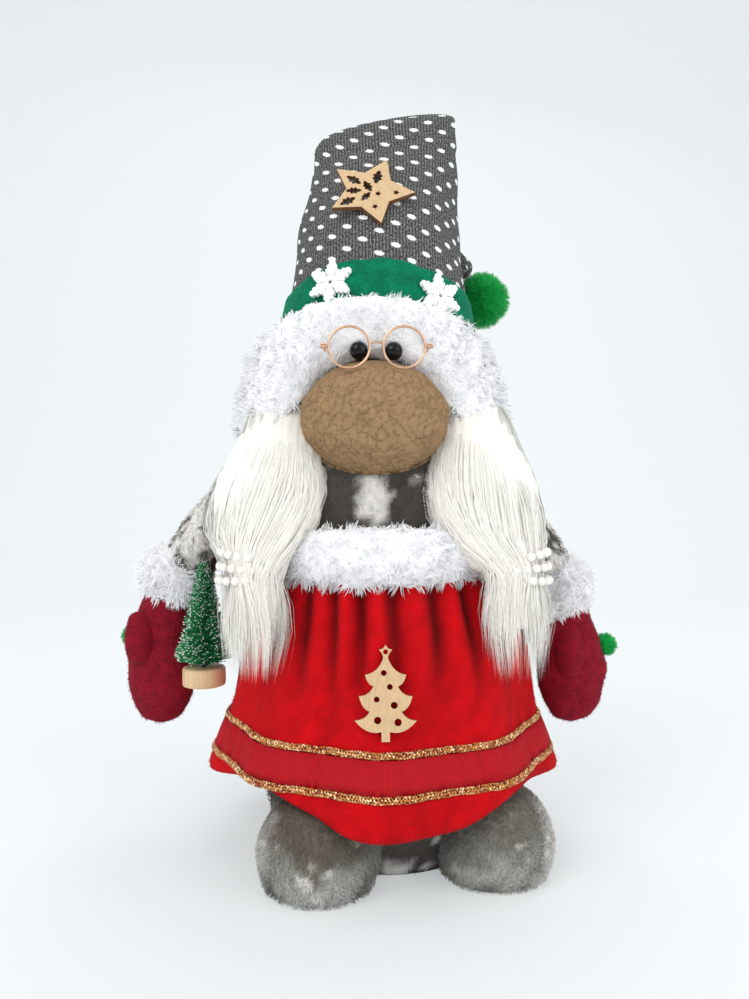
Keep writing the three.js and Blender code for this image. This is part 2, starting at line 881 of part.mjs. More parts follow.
// The crown leans up to the right by this share at each height
const slopeShareAt = (height) =>
  THREE.MathUtils.smoothstep(height, crownMidHeight - foldSlopeRun, foldHeight);
function crownPoint(angle, height, grow = 0) {
  const { x, y } = crownMiddleAt(height);
  const across = (crownWidthAt(height) + grow) * sin(angle);
  return vec(
    x + across,
    y - (crownDepthAt(height) + grow) * cos(angle),
    height + across * foldRise * slopeShareAt(height),
  );
}
function crownSolid(grow, low, around = 26) {
  const heights = [
    low,
    bandHigh,
    crownMidHeight,
    (crownMidHeight + crownTopHeight) / 2,
    crownTopHeight - crownTurnDrop,
    foldHeight + grow,
  ];
  const rows = heights.length + 1;
  return solidOf(
    ballSurface(
      (turn, step) => {
        const row = Math.round(step * rows);
        const height = heights[min(max(row - 1, 0), heights.length - 1)];
        if (row > 0 && row < rows) return crownPoint(2 * PI * turn, height, grow);
        const { x, y } = crownMiddleAt(height);
        return vec(x, y, height);
      },
      around,
      rows,
    ),
  );
}
const foldAxisPoint = vec(crownTopSway, foldBack, foldHeight);
const foldAxis = vec(cos(foldSlope * degrees), 0, sin(foldSlope * degrees));
// A spindle round the fold's line, so that the tail turns about it with an even gap
function foldRoll(grow, around = 12, along = 10) {
  const half = crownTopWidth / 2 + grow;
  return new THREE.SphereGeometry(1, around, along)
    .rotateZ(-PI / 2)
    .scale(half, foldRadius + grow, foldRadius + grow)
    .rotateY(-foldSlope * degrees)
    .translate(...foldAxisPoint);
}
const foldRoom = foldRoll(swingRoom);
const crownOuter = crownSolid(0, crownLow);
const hatCrown = mainBody(
  cut(crownOuter, crownSolid(-knitWall, crownLow - past, 13), foldRoom),
);
const hatStuffing = mainBody(
  cut(
    crownSolid(-knitWall - 2 * seat, domeHeight + domeRise - stuffingDip, 13),
    bodyRoom,
    foldRoll(swingRoom + knitWall),
  ),
);
const crownRoom = crownSolid(seat, crownLow - seat);

// Hat tail: the rest of the cone, folded back and down behind the crown to its narrow tip
const tailPoint = (out, back, drop) =>
  foldAxisPoint.clone().add(vec(tailOut * out, tailBow * back, -tailDrop * drop));
const tailTip = tailPoint(1, tailTipBack / tailBow, 1);
const pompomHang = vec(0.41, 0.25, -0.88).normalize();
// All that lies past the tip in the direction that the pompom hangs in
const pompomSpace = 2.2 * hatPompomRadius;
const pastTip = new THREE.BoxGeometry(pompomSpace, pompomSpace, pompomSpace)
  .translate(0, 0, -pompomSpace / 2)
  .applyQuaternion(new THREE.Quaternion().setFromUnitVectors(vec(0, 0, -1), pompomHang))
  .translate(...tailTip);
const tailHalf = crownTopWidth / 2;
const tailStations = [
  {
    at: foldAxisPoint.clone().add(vec(0, foldRadius * 0.4, 0)),
    wide: tailHalf - tailTuck,
    deep: foldRadius * 0.38,
    out: vec(0, 0.5, 1),
  },
  {
    at: tailPoint(0.09, 0.64, 0.27),
    wide: tailHalf * 0.8,
    deep: tailHalfDepth,
    out: vec(0.05, 1, 0.5),
  },
  {
    at: tailPoint(0.36, 1, 0.59),
    wide: tailHalf * 0.57,
    deep: tailHalfDepth * 1.1,
    out: vec(0.3, 1, 0.25),
  },
  {
    at: tailPoint(0.7, 0.97, 0.855),
    wide: tailHalf * 0.3,
    deep: tailHalfDepth,
    out: vec(0.6, 0.9, 0.2),
  },
  { at: tailTip, wide: tailTipRadius, deep: tailTipRadius, out: vec(0.8, 0.8, 0.1) },
];
const tailReach = limb(tailStations, { around: 14, along: 10, round: 0.06 });
// The crown's space without the roll, so that the roll stays whole where the two meet
const crownUnderFold = cut(crownRoom, foldRoll(0));
const hatTail = mainBody(cut(join(tailReach, foldRoll(0)), crownUnderFold, pastTip));

// Hat band and lining
function hatBand(low, high, pointAt, gap, thickness, around) {
  const section = [
    [low, gap],
    [low, gap + thickness],
    [high, gap + thickness],
    [high, gap],
  ];
  return ringSurface(
    (turn, step) => {
      const [height, off] = section[Math.round(step * section.length)];
      return pointAt(2 * PI * turn, height, off);
    },
    around,
    section.length,
  );
}
const bandGap = 2 * seat;
const bandPoint = (angle, height, off) =>
  crownPoint(angle, height - bandDrop * (1 - max(0, cos(angle)) ** 2), off);
const greenBand = hatBand(bandLow, bandHigh, bandPoint, bandGap, feltThickness, 26);
const bandTop = feltThickness + bandGap + seat; // where the band's outer face ends, with a gap
const bandRoom = solidOf(
  hatBand(bandLow - seat, bandHigh + seat, bandPoint, 0, bandTop, 26),
);
const liningPoint = (angle, height, off) =>
  vec(
    leanAt(height) + (bodyRadiusAt(height) + off) * sin(angle),
    -(bodyRadiusAt(height) + off) * cos(angle),
    height,
  );
const lining = mainBody(
  cut(
    hatBand(liningLow, liningHigh, liningPoint, bandGap, liningThickness, 24),
    noseRoom,
  ),
);
const liningTop = liningThickness + bandGap + seat;
const liningRoom = solidOf(
  hatBand(liningLow - seat, liningHigh + seat, liningPoint, 0, liningTop, 24),
);

// Snowflakes on the band
function flakePose(turn, level) {
  const angle = turn * degrees;
  const onBand = bandPoint(angle, level, bandTop);
  const above = bandPoint(angle, bandHigh, 0);
  const below = bandPoint(angle, bandLow, 0);
  const lean = atan2(hypot(above.x, above.y) - hypot(below.x, below.y), bandWidth);
  const group = new THREE.Group();
  group.position.copy(onBand);
  group.rotation.set(PI / 2, 0, 0);
  group.rotateY(angle);
  group.rotateX(lean);
  group.updateMatrixWorld();
  return group;
}
// One arm is a stem with two pairs of slanting twigs; the outline repeats it six times
function flakeShape(radius) {
  const arm = [
    [0.12, -0.08],
    [0.36, -0.09],
    [0.55, -0.28],
    [0.55, -0.1],
    [0.72, -0.09],
    [0.88, -0.22],
    [1, 0],
  ];
  const outline = [...arm, ...arm.slice(1, -1).reverse().map(([r, a]) => [r, -a])];
  const points = [];
  for (let k = 0; k < 6; k++)
    for (const [along, across] of outline) {
      const angle = (k * PI) / 3 + PI / 2;
      points.push(
        new THREE.Vector2(
          radius * (along * cos(angle) - across * sin(angle)),
          radius * (along * sin(angle) + across * cos(angle)),
        ),
      );
    }
  return new THREE.Shape(points);
}
const plate = (shape, thickness) =>
  new THREE.ExtrudeGeometry(shape, {
    depth: thickness,
    bevelEnabled: false,
    curveSegments: 3,
  });
// The space that a flake needs: a six-sided plate with its corners at the flake's tips
const flakeRoom = (turn, level) => {
  const radius = flakeRadius + 2 * seat;
  const room = new THREE.CylinderGeometry(radius, radius, flakeThickness + 2 * seat, 6);
  room.rotateX(PI / 2).translate(0, 0, flakeThickness / 2);
  return room.applyMatrix4(flakePose(turn, level).matrixWorld);
};

// Brim: a fat fur roll that lifts over the eyes and hangs low and wide at the sides and back
function brimRoll(grow = 0) {
  return ringSurface(
    (turn, step) => {
      const angle = 2 * PI * turn;
      const front = max(0, cos(angle)) ** 3;
      const blend = (side, ahead) => side + (ahead - side) * front;
      const tilt = blend(brimFlare, -brimFrontTuck) * degrees;
      const around = 2 * PI * step;
      const out = (brimThick + grow) * cos(around);
      const up = (blend(brimSideTall, brimFrontTall) + grow) * sin(around);
      const radius =
        blend(brimSideRadius, brimFrontRadius) + out * cos(tilt) - up * sin(tilt);
      const height =
        blend(brimSide, brimFront) + out * sin(tilt) + up * cos(tilt);
      return vec(
        leanAt(headHeight) + brimShift + radius * sin(angle),
        -radius * cos(angle),
        height,
      );
    },
    26,
    8,
  );
}
const eyeRooms = join(eyeRoom(-1), eyeRoom(1));
const brim = mainBody(
  cut(
    brimRoll(),
    bodyRoom,
    crownRoom,
    bandRoom,
    liningRoom,
    noseRoom,
    eyeRooms,
    templeRoom(-1),
    templeRoom(1),
    flakeRoom(leftFlakeTurn, leftFlakeLevel),
    flakeRoom(rightFlakeTurn, rightFlakeLevel),
  ),
);

// Turns a solid about a line along X through a point at the given distance back and height
function turnedAboutX(solid, y, z, angle) {
  return solid
    .translate([0, -y, -z])
    .rotate([angle, 0, 0])
    .translate([0, y, z]);
}

// Hair: a bunch that comes out under the brim, swells, is tied, and ends in a loose tail
function hairStations(side) {
  const full = side < 0 ? -leftHairOut : rightHairOut;
  const tie = side < 0 ? -leftTieOut : rightTieOut;
  const loose = tie - side * hairTailIn;
  const station = (x, forward, height, wide, deep) => ({
    at: vec(x, -forward, height),
    wide,
    deep,
  });
  const mid = (a, b) => (a + b) / 2;
  const hairFullHeight = mid(hairTopHeight, hairTieHeight) - hairPivotDrop;
  const hairBellyHeight = hairTieHeight + tieHalfWidth * 1.3;
  return [
    station(full - side * hairRootIn, hairRootForward, hairTopHeight, hairRootWidth, hairRootDepth),
    station(
      full - side * hairRootIn * 0.75,
      hairFullForward - 2,
      mid(hairTopHeight, hairFullHeight) + 2,
      mid(hairRootWidth, hairFullWidth),
      mid(hairRootDepth, hairFullDepth) + 1,
    ),
    station(full, hairFullForward, hairFullHeight, hairFullWidth, hairFullDepth),
    station(
      full + side * hairBellyOut,
      hairBellyForward,
      hairBellyHeight,
      hairFullWidth * 0.84,
      hairFullDepth * 0.88,
    ),
    station(tie, hairTieForward, hairTieHeight, tieHalfWidth, tieHalfDepth),
    station(
      mid(tie, loose),
      hairTieForward + 1,
      hairTieHeight - tieHalfWidth * 1.2,
      tailHalfWidth * 0.9,
      tieHalfDepth + 0.5,
    ),
    station(
      loose,
      hairTailForward - 2,
      mid(hairTieHeight, hairEndHeight) - 4,
      tailHalfWidth,
      tieHalfDepth + 1,
    ),
    station(loose, hairTailForward, hairEndHeight, tailHalfWidth * 0.7, tieHalfDepth * 0.75),
  ];
}
const tieStation = (side) => hairStations(side)[4];
// The hair swings past the brim, the nose and the waist fur without touching them
const hairObstacles = [
  join(brimRoll(seat), noseBall(2 * seat, 20, 10)),
  join(waistFurRoll(2 * seat), insideFur),
];
const hairPivot = vec(0, -hairPivotForward, hairTopHeight - hairPivotDrop);
function hairBunch(side) {
  const raw = limb(hairStations(side), { around: 10, along: 13, round: 0.05 });
  const swept = [0, 0.25, 0.5, 1].flatMap((share) =>
    hairObstacles.map((piece) =>
      turnedAboutX(piece, hairPivot.y, hairPivot.z, hairSwing * share),
    ),
  );
  return mainBody(cut(raw, ...swept, bodyRoom, skirtRoom, pearlRoom(side)));
}

// A string of pearls round the tie, fused along its thread
const tieRing = {
  wide: tieHalfWidth + seat + pearlRadius,
  deep: tieHalfDepth + seat + pearlRadius,
};
// A ring round the tie whose thickness follows the given function of its turn
function tieLoop(sizeAt, around, across) {
  return ringSurface(
    (turn, step) => {
      const angle = 2 * PI * turn;
      const size = sizeAt(turn);
      const out = size * cos(2 * PI * step);
      return vec(
        (tieRing.wide + out) * cos(angle),
        (tieRing.deep + out) * sin(angle),
        size * sin(2 * PI * step),
      );
    },
    around,
    across,
  );
}
const pearlString = () =>
  tieLoop(
    (turn) =>
      Math.round(turn * pearlCount * 3) % 3 === 0 ? threadRadius : pearlRadius,
    pearlCount * 3,
    4,
  );
const pearlRoom = (side) =>
  tieLoop(() => pearlRadius + 2 * seat, 16, 6)
    .rotateY(-side * pearlTilt * degrees)
    .translate(...tieStation(side).at);

// Arms
const arms = {
  left: { side: -1, out: leftCuffOut, level: leftCuffLevel, tilt: leftCuffTilt },
  right: { side: 1, out: rightCuffOut, level: rightCuffLevel, tilt: rightCuffTilt },
};
const shoulderSpan = [-2, -1, 0, 1].map((share) => shoulderHeight + share * sleeveRadius);
const shoulderPlaneAt = (side) => {
  const reaches = shoulderSpan.map(
    (height) => side * leanAt(height) + bodyRadiusAt(height),
  );
  return side * (max(...reaches) + seat);
};
function armStations({ side, out, level }) {
  const reach = side * (shoulderRadius - armRootIn);
  const root = vec(reach + leanAt(shoulderHeight), 0, shoulderHeight);
  const wrist = vec(side * out, 0, level);
  const place = (share) =>
    root.clone().lerp(wrist, share).add(vec(0, 0, armBow * sin(PI * share)));
  return [
    { at: place(0), wide: sleeveRadius, deep: sleeveRadius },
    { at: place(0.35), wide: sleeveRadius, deep: sleeveRadius },
    { at: place(0.7), wide: sleeveRadius - 1, deep: sleeveRadius },
    { at: wrist.add(vec(0, 0, -2.5 * sleeveEnd)), wide: wristRadius, deep: wristRadius },
  ];
}
const armLimb = (arm, grow = 0) =>
  limb(armStations(arm), { grow, around: 12, along: 8, round: 0.04 });
// The arm swings past the waist fur, so what is lower than the fur's top keeps outside it
function sleeve(arm) {
  const { side, level } = arm;
  const inwardOf = (x) =>
    block(
      vec(min(x, x - side * beyond), -beyond, 0),
      vec(max(x, x - side * beyond), beyond, 2 * beyond),
    );
  const furOut =
    side * leanAt(waistFurHeight) +
    bodyRadiusAt(waistFurHeight) +
    waistFurSide * (1 + waistFurRidge) +
    swingRoom;
  const hub = new THREE.CylinderGeometry(1, 1, 2 * beyond, 24).rotateZ(PI / 2);
  const hubRadius = shoulderHeight - waistFurHeight - waistFurShort - 2 * swingRoom;
  hub.scale(1, hubRadius, hubRadius).translate(0, 0, shoulderHeight);
  const besideFur = cut(inwardOf(side * furOut), hub);
  return mainBody(
    cut(armLimb(arm), inwardOf(shoulderPlaneAt(side)), besideFur, slab(0, level - sleeveEnd)),
  );
}
function mittenStations({ side, out, level }) {
  const palm = side * (out + mittenOut);
  const station = (x, forward, height, wide, deep) => ({
    at: vec(x, -forward, height),
    wide,
    deep,
  });
  const palmHeight = (level + mittenLow) / 2 - mittenTipRise / 4;
  return [
    station(side * (out + 1), cuffForward, level, wristRadius - 1, wristRadius - 1.5),
    station(
      side * (out + mittenOut * 0.6),
      mittenForward / 2,
      level - mittenWristDrop,
      mittenHalfWidth * 0.84,
      mittenHalfDepth * 0.94,
    ),
    station(palm, mittenForward * 0.8, palmHeight, mittenHalfWidth, mittenHalfDepth),
    station(
      palm,
      mittenForward,
      mittenLow + mittenTipRise,
      mittenHalfWidth * 0.9,
      mittenHalfDepth * 0.88,
    ),
    station(palm, mittenForward, mittenLow, mittenHalfWidth * 0.5, mittenHalfDepth * 0.5),
  ];
}
// The thumb lies on the front of the palm, nearer to its outer edge on the left hand
function thumb(arm, grow) {
  const share = arm.side < 0 ? 0.5 : 0.2;
  const x = arm.side * (arm.out + mittenOut) - mittenHalfWidth * share;
  const front = -mittenHalfDepth * 0.95;
  const knuckle = arm.level - knuckleDrop;
  const stations = [
    {
      at: vec(x, -mittenHalfDepth / 2, knuckle),
      wide: thumbRadius,
      deep: thumbRadius,
    },
    {
      at: vec(x, front, knuckle - thumbLength / 2),
      wide: thumbRadius * 1.15,
      deep: thumbRadius,
    },
    {
      at: vec(x, front, knuckle - thumbLength),
      wide: thumbRadius * 0.8,
      deep: thumbRadius * 0.7,
    },
  ];
  return limb(stations, { grow, around: 8, along: 6, round: 0.2 });
}
function mitten(arm, grow = 0) {
  const hand = limb(mittenStations(arm), { grow, around: 14, along: 10, round: 0.1 });
  const top = arm.level - sleeveEnd - seat;
  return cut(join(hand, thumb(arm, grow)), slab(top, top + beyond));
}
function cuff(arm) {
  const roll = ellipsoid(vec(0, 0, 0), cuffRadius, cuffRadius, cuffHalfHeight, 14, 7)
    .rotateY(-arm.side * arm.tilt * degrees)
    .translate(arm.side * arm.out, -cuffForward, arm.level);
  const sleeveRoom = cut(armLimb(arm, seat), slab(0, arm.level - sleeveEnd - seat));
  return mainBody(cut(roll, sleeveRoom, mitten(arm, seat)));
}
function mittenPompom(arm) {
  const reach = arm.out + mittenOut + mittenHalfWidth + mittenPompomRadius * 0.2;
  const back = arm.side < 0 ? leftPompomBack : 0;
  const height = (arm.level + mittenLow) / 2 + mittenPompomRise;
  const middle = vec(arm.side * reach, back, height);
  return mainBody(cut(ball(middle, mittenPompomRadius, 10, 7), mitten(arm, seat)));
}

// Bottle-brush tree: a turned foot with a socket, and a twisted wire that carries the bristles
const treeFootProfile = [
  [0, 0],
  [treeFootRadius - footEdge, 0],
  [treeFootRadius, footEdge],
  [treeFootRadius, treeFootHeight - footEdge],
  [treeFootRadius - footEdge, treeFootHeight],
  [trunkRadius + seat, treeFootHeight],
  [trunkRadius + seat, treeFootHeight - trunkSocket],
  [0, treeFootHeight - trunkSocket],
].map(([r, h]) => new THREE.Vector2(r, h));
const treeFoot = new THREE.LatheGeometry(treeFootProfile, 18).rotateX(PI / 2);

// The brush is one skin: each small face of the twisted wire's sleeve is drawn out to a point
function treeBrush() {
  const low = treeFootHeight - trunkSocket + seat;
  const brushLow = treeFootHeight + trunkShow;
  const brushHigh = treeHeight - trunkTip;
  const rows = steps(brushLow, brushHigh, bristleRows);
  const points = [vec(0, 0, low)];
  const faces = [];
  const ring = (radius, height, shift = 0) => {
    const first = points.length;
    for (let i = 0; i < bristleSides; i++) {
      const angle = (2 * PI * (i + shift)) / bristleSides;
      points.push(vec(radius * cos(angle), radius * sin(angle), height));
    }
    return (i) => first + (i % bristleSides);
  };
  const rings = [
    ring(trunkRadius, low),
    ring(trunkRadius, brushLow - wireSwell),
    ...rows.map((height, k) => ring(coreRadius, height, (k % 2) / 2)),
    ring(trunkRadius, brushHigh + wireSwell),
    ring(trunkRadius, treeHeight),
  ];
  points.push(vec(0, 0, treeHeight));
  const top = points.length - 1;
  const draw = (a, b, c) => {
    const middle = points[a].clone().add(points[b]).add(points[c]).divideScalar(3);
    const up = (middle.z - brushLow) / (brushHigh - brushLow);
    const reach = bristleLowReach + (bristleTopReach - bristleLowReach) * up;
    const out = vec(middle.x, middle.y, 0).normalize();
    const length = reach - coreRadius;
    const tip = middle.addScaledVector(out, length).add(vec(0, 0, length * bristleRise));
    points.push(tip);
    const apex = points.length - 1;
    faces.push(a, b, apex, b, c, apex, c, a, apex);
  };
  const lastRow = rings.length - 3;
  for (let i = 0; i < bristleSides; i++) {
    faces.push(0, rings[0](i + 1), rings[0](i));
    faces.push(top, rings.at(-1)(i), rings.at(-1)(i + 1));
    for (let k = 0; k < rings.length - 1; k++) {
      const [lower, upper] = [rings[k], rings[k + 1]];
      const bristled = k > 1 && k < lastRow;
      const shifted = bristled && (k - 2) % 2 === 1;
      const triangles = shifted
        ? [
            [lower(i), upper(i + 1), upper(i)],
            [lower(i), lower(i + 1), upper(i + 1)],
          ]
        : [
            [lower(i), lower(i + 1), upper(i)],
            [lower(i + 1), upper(i + 1), upper(i)],
          ];
      for (const face of triangles) bristled ? draw(...face) : faces.push(...face);
    }
  }
  return closedGeometry(points, faces);
}

// Plywood star with cut-out leaves and small stars, and a plywood fir with round holes
function starPoints(radius, waist, x = 0, y = 0, turn = 0) {
  return steps(0, 9, 9).map((k) => {
    const angle = PI / 2 + turn * degrees + (k * PI) / 5;
    const reach = k % 2 ? radius * waist : radius;
    return new THREE.Vector2(x + reach * cos(angle), y + reach * sin(angle));
  });
}
function leafHole(x, y, turn, length) {
  const hole = new THREE.Path();
  const along = vec(cos(turn * degrees), sin(turn * degrees), 0);
  const bulge = length * 0.32;
  const end = (share) => [x + along.x * length * share, y + along.y * length * share];
  const side = (s) => [x - along.y * bulge * s, y + along.x * bulge * s];
  hole.moveTo(...end(-0.5));
  hole.quadraticCurveTo(...side(1), ...end(0.5));
  hole.quadraticCurveTo(...side(-1), ...end(-0.5));
  return hole;
}
function starOrnament() {
  const shape = new THREE.Shape(starPoints(starRadius, starWaist));
  const leaves = [
    [-0.42, 0.12, 160, 0.34],
    [-0.36, -0.18, 215, 0.3],
    [-0.06, 0.34, 95, 0.34],
    [-0.08, 0.02, 130, 0.4],
    [-0.3, -0.44, 240, 0.34],
  ];
  for (const [x, y, turn, length] of leaves)
    shape.holes.push(
      leafHole(x * starRadius, y * starRadius, turn, length * starRadius),
    );
  const smallStars = [
    [0.2, -0.04],
    [0.56, 0.14],
    [0.28, -0.42],
  ];
  for (const [x, y] of smallStars)
    shape.holes.push(
      new THREE.Path(
        starPoints(starRadius * 0.085, 0.45, x * starRadius, y * starRadius).reverse(),
      ),
    );
  return plate(shape, plyThickness);
}
// The fir's outline on its right: one curve above and one below each bough, as the curve's control
// point and its end, all as shares of the fir's height
const boughs = [
  [0.2, 0.06, 0.33, 0.22],
  [0.22, 0.22, 0.17, 0.31],
  [0.25, 0.33, 0.285, 0.47],
  [0.18, 0.47, 0.13, 0.57],
  [0.19, 0.58, 0.22, 0.69],
  [0.08, 0.71, 0.028, 0.86],
];
const trunkShare = 0.045;
const trunkHighShare = 0.1;
const firStarShare = 0.93;
function firShape() {
  const h = firHeight;
  const half = new THREE.Path();
  half.moveTo(trunkShare * h, 0);
  half.lineTo(trunkShare * h, trunkHighShare * h);
  for (const [cx, cy, x, y] of boughs)
    half.quadraticCurveTo(cx * h, cy * h, x * h, y * h);
  const star = starPoints(0.075 * h, 0.6, 0, firStarShare * h);
  for (const k of [7, 8, 9]) half.lineTo(star[k].x, star[k].y);
  const right = half.getPoints(3);
  const left = right.map(({ x, y }) => new THREE.Vector2(-x, y)).reverse();
  const shape = new THREE.Shape([...right, star[0], ...left]);
  const holes = [
    [0, firStarShare, 0.026],
    [-0.02, 0.71, 0.03],
    [0.045, 0.565, 0.03],
    [-0.095, 0.435, 0.03],
    [0.09, 0.375, 0.036],
    [-0.085, 0.22, 0.038],
    [0.13, 0.2, 0.038],
  ];
  for (const [x, y, r] of holes)
    shape.holes.push(new THREE.Path().absarc(x * h, y * h, r * h, 0, 2 * PI, true));
  return shape;
}

// Assembly: the body carries everything, and each moving piece hangs in a group at its pivot
const gnome = new THREE.Group();
const groupAt = (parent, pivot) => {
  const group = new THREE.Group();
  group.position.copy(pivot);
  parent.add(group);
  return group;
};
function add(parent, name, shape, material) {
  const geometry = shape.isBufferGeometry ? shape : geometryOf(shape);
  const mesh = new THREE.Mesh(geometry, material);
  mesh.name = name;
  parent.add(mesh);
  return mesh;
}
// Adds a piece that is modelled in the gnome's frame to a group that stands at its pivot
function addInFrame(group, name, shape, material) {
  const mesh = add(group, name, shape, material);
  mesh.geometry.translate(...group.position.clone().negate());
  return mesh;
}

add(gnome, "base_panel", basePanel, finishes.plush);
add(gnome, "base_board", baseBoard, finishes.card);
add(gnome, "weight_bag", weightBag, finishes.weight);
add(gnome, "body_stuffing", bodyStuffing, finishes.stuffing);
add(gnome, "body_cover", bodyCover, finishes.plush);
add(gnome, "foot_left", footLeft, finishes.plush);
add(gnome, "foot_right", footRight, finishes.plush);
add(gnome, "skirt", skirt, finishes.redFleece);
const ribbon = skirtBand(ribbonLow, ribbonHigh, seat, ribbonThickness);
add(gnome, "ribbon_band", ribbon, finishes.redRibbon);
add(gnome, "gold_edge_upper", goldEdge(ribbonHigh + goldRise), finishes.gold);
add(gnome, "gold_edge_lower", goldEdge(ribbonLow - goldRise), finishes.gold);
add(gnome, "waist_fur", waistFur, finishes.fur);
add(gnome, "nose_cover", noseCover, finishes.noseFleece);
add(gnome, "nose_stuffing", noseStuffing, finishes.stuffing);
for (const [side, name] of [[-1, "left"], [1, "right"]]) {
  const eye = add(gnome, `eye_${name}`, eyeBead(), finishes.bead);
  eye.position.copy(eyeAt(side));
  eye.rotation.z = side * eyeTilt * degrees;
}
add(gnome, "hat_crown", hatCrown, finishes.knit);
add(gnome, "hat_stuffing", hatStuffing, finishes.stuffing);
add(gnome, "hat_band", greenBand, finishes.greenFelt);
add(gnome, "hat_lining", lining, finishes.greenFelt);
add(gnome, "hat_brim", brim, finishes.fur);

const flakes = {
  left: flakePose(leftFlakeTurn, leftFlakeLevel),
  right: flakePose(rightFlakeTurn, rightFlakeLevel),
};
for (const [name, pose] of Object.entries(flakes)) {
  const shape = plate(flakeShape(flakeRadius), flakeThickness);
  const flake = add(gnome, `snowflake_${name}`, shape, finishes.resin);
  flake.position.copy(pose.position);
  flake.quaternion.copy(pose.quaternion);
}

// A plate laid on a slope: the slope's angle comes from two points of the surface
function layOn(mesh, surfaceAt, level, reach, turn) {
  const above = surfaceAt(level + reach);
  const below = surfaceAt(level - reach);
  const lean = atan2(above.y - below.y, above.z - below.z);
  const middle = surfaceAt(level);
  mesh.position.copy(middle).add(vec(0, -plateGap * cos(lean), plateGap * sin(lean)));
  mesh.rotation.set(PI / 2 - lean, 0, 0);
  mesh.rotateZ(turn * degrees);
}
const crownFrontAt = (level) => {
  const { x } = crownMiddleAt(level);
  const angle = Math.asin((starSide - x) / crownWidthAt(level));
  return crownPoint(angle, level);
};
const star = add(gnome, "wood_star", starOrnament(), finishes.ply);
layOn(star, crownFrontAt, starLevel, starRadius * 0.3, starTurn);
const skirtFrontAt = (level) => aroundSkirt(0, skirtRadiusAt(0, level), level);
const firPlate = plate(firShape(), plyThickness).translate(0, -firHeight / 2, 0);
const fir = add(gnome, "wood_fir", firPlate, finishes.ply);
layOn(fir, skirtFrontAt, firLevel, firHeight * 0.25, 0);

const tailGroup = groupAt(gnome, foldAxisPoint);
addInFrame(tailGroup, "hat_tail", hatTail, finishes.knit);
const pompomGroup = groupAt(tailGroup, tailTip.clone().sub(foldAxisPoint));
const pompom = add(
  pompomGroup,
  "hat_pompom",
  new THREE.SphereGeometry(hatPompomRadius, 14, 9),
  finishes.greenPompom,
);
pompom.position.copy(pompomHang).multiplyScalar(hatPompomRadius + seat);

const glasses = groupAt(gnome, glassesMiddle);
add(glasses, "glasses_frame", glassesFrame(), finishes.copper);
add(glasses, "temple_left", temple(-1), finishes.copper);
add(glasses, "temple_right", temple(1), finishes.copper);

for (const [side, name] of [[-1, "left"], [1, "right"]]) {
  const hair = groupAt(gnome, hairPivot);
  addInFrame(hair, `hair_${name}`, hairBunch(side), finishes.wool);
  const tie = tieStation(side).at;
  const pearls = add(hair, `pearl_tie_${name}`, pearlString(), finishes.pearl);
  pearls.position.copy(tie).sub(hair.position);
  pearls.rotation.y = -side * pearlTilt * degrees;
}

for (const [name, arm] of Object.entries(arms)) {
  const group = groupAt(gnome, vec(shoulderPlaneAt(arm.side), 0, shoulderHeight));
  addInFrame(group, `sleeve_${name}`, sleeve(arm), finishes.plush);
  addInFrame(group, `cuff_${name}`, cuff(arm), finishes.fur);
  addInFrame(group, `mitten_${name}`, mitten(arm), finishes.redFelt);
  addInFrame(group, `mitten_pompom_${name}`, mittenPompom(arm), finishes.greenPompom);
  if (name === "left") {
    const spot = vec(treeInset - leftCuffOut, -treeForward, treeLow);
    const tree = groupAt(group, spot.sub(group.position));
    add(tree, "tree_foot", treeFoot, finishes.wood);
    add(tree, "tree_brush", treeBrush(), finishes.bristles);
  }
}

export default gnome;
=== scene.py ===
import bpy
import numpy as np
from bpy.props import FloatProperty, FloatVectorProperty, IntProperty, PointerProperty
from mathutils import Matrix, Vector


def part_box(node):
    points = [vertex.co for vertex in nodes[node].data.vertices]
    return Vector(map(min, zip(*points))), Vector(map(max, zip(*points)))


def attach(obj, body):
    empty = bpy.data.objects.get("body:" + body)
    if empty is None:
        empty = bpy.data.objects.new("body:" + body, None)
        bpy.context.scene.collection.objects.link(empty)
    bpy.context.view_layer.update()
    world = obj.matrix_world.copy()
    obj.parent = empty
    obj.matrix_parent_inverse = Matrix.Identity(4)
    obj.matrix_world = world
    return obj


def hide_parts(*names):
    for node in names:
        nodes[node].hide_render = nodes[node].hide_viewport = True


bl_info = {
    "name": "Fabric Christmas Gnome",
    "version": (1, 0, 0),
    "blender": (4, 5, 0),
    "location": "View3D > Sidebar > Gnome",
    "description": "Dresses the gnome's solids with knit, fur, felt, wool and wire",
    "category": "Add Mesh",
}

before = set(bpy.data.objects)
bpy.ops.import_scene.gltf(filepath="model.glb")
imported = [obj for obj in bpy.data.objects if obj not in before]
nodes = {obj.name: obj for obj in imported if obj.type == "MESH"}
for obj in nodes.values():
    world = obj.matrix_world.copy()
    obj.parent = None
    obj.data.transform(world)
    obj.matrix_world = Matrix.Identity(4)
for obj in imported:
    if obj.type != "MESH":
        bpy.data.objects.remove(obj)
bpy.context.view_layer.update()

MM = 0.001
PI = np.pi


# Numbers and curves, in millimetres
def paint(code):
    """A hex colour as linear red, green, blue and alpha."""
    parts = np.array([int(code[k:k + 2], 16) for k in (1, 3, 5)]) / 255
    linear = np.where(parts <= 0.04045, parts / 12.92, ((parts + 0.055) / 1.055) ** 2.4)
    return (*[float(x) for x in linear], 1.0)


def rgb(colour):
    """The colour's red, green and blue."""
    return np.array(colour[:3])


def unit(v):
    """Each vector divided by its length."""
    return v / np.maximum(np.linalg.norm(v, axis=-1, keepdims=True), 1e-9)


def mix(a, b, share):
    """Part way from a to b."""
    return a + (b - a) * share


def ease(x, low, high):
    """0 below low, 1 above high, and three t squared less two t cubed between."""
    t = np.clip((x - low) / (high - low), 0, 1)
    return t * t * (3 - 2 * t)


def wrap(angle):
    """The angle between -pi and pi."""
    return (angle + PI) % (2 * PI) - PI


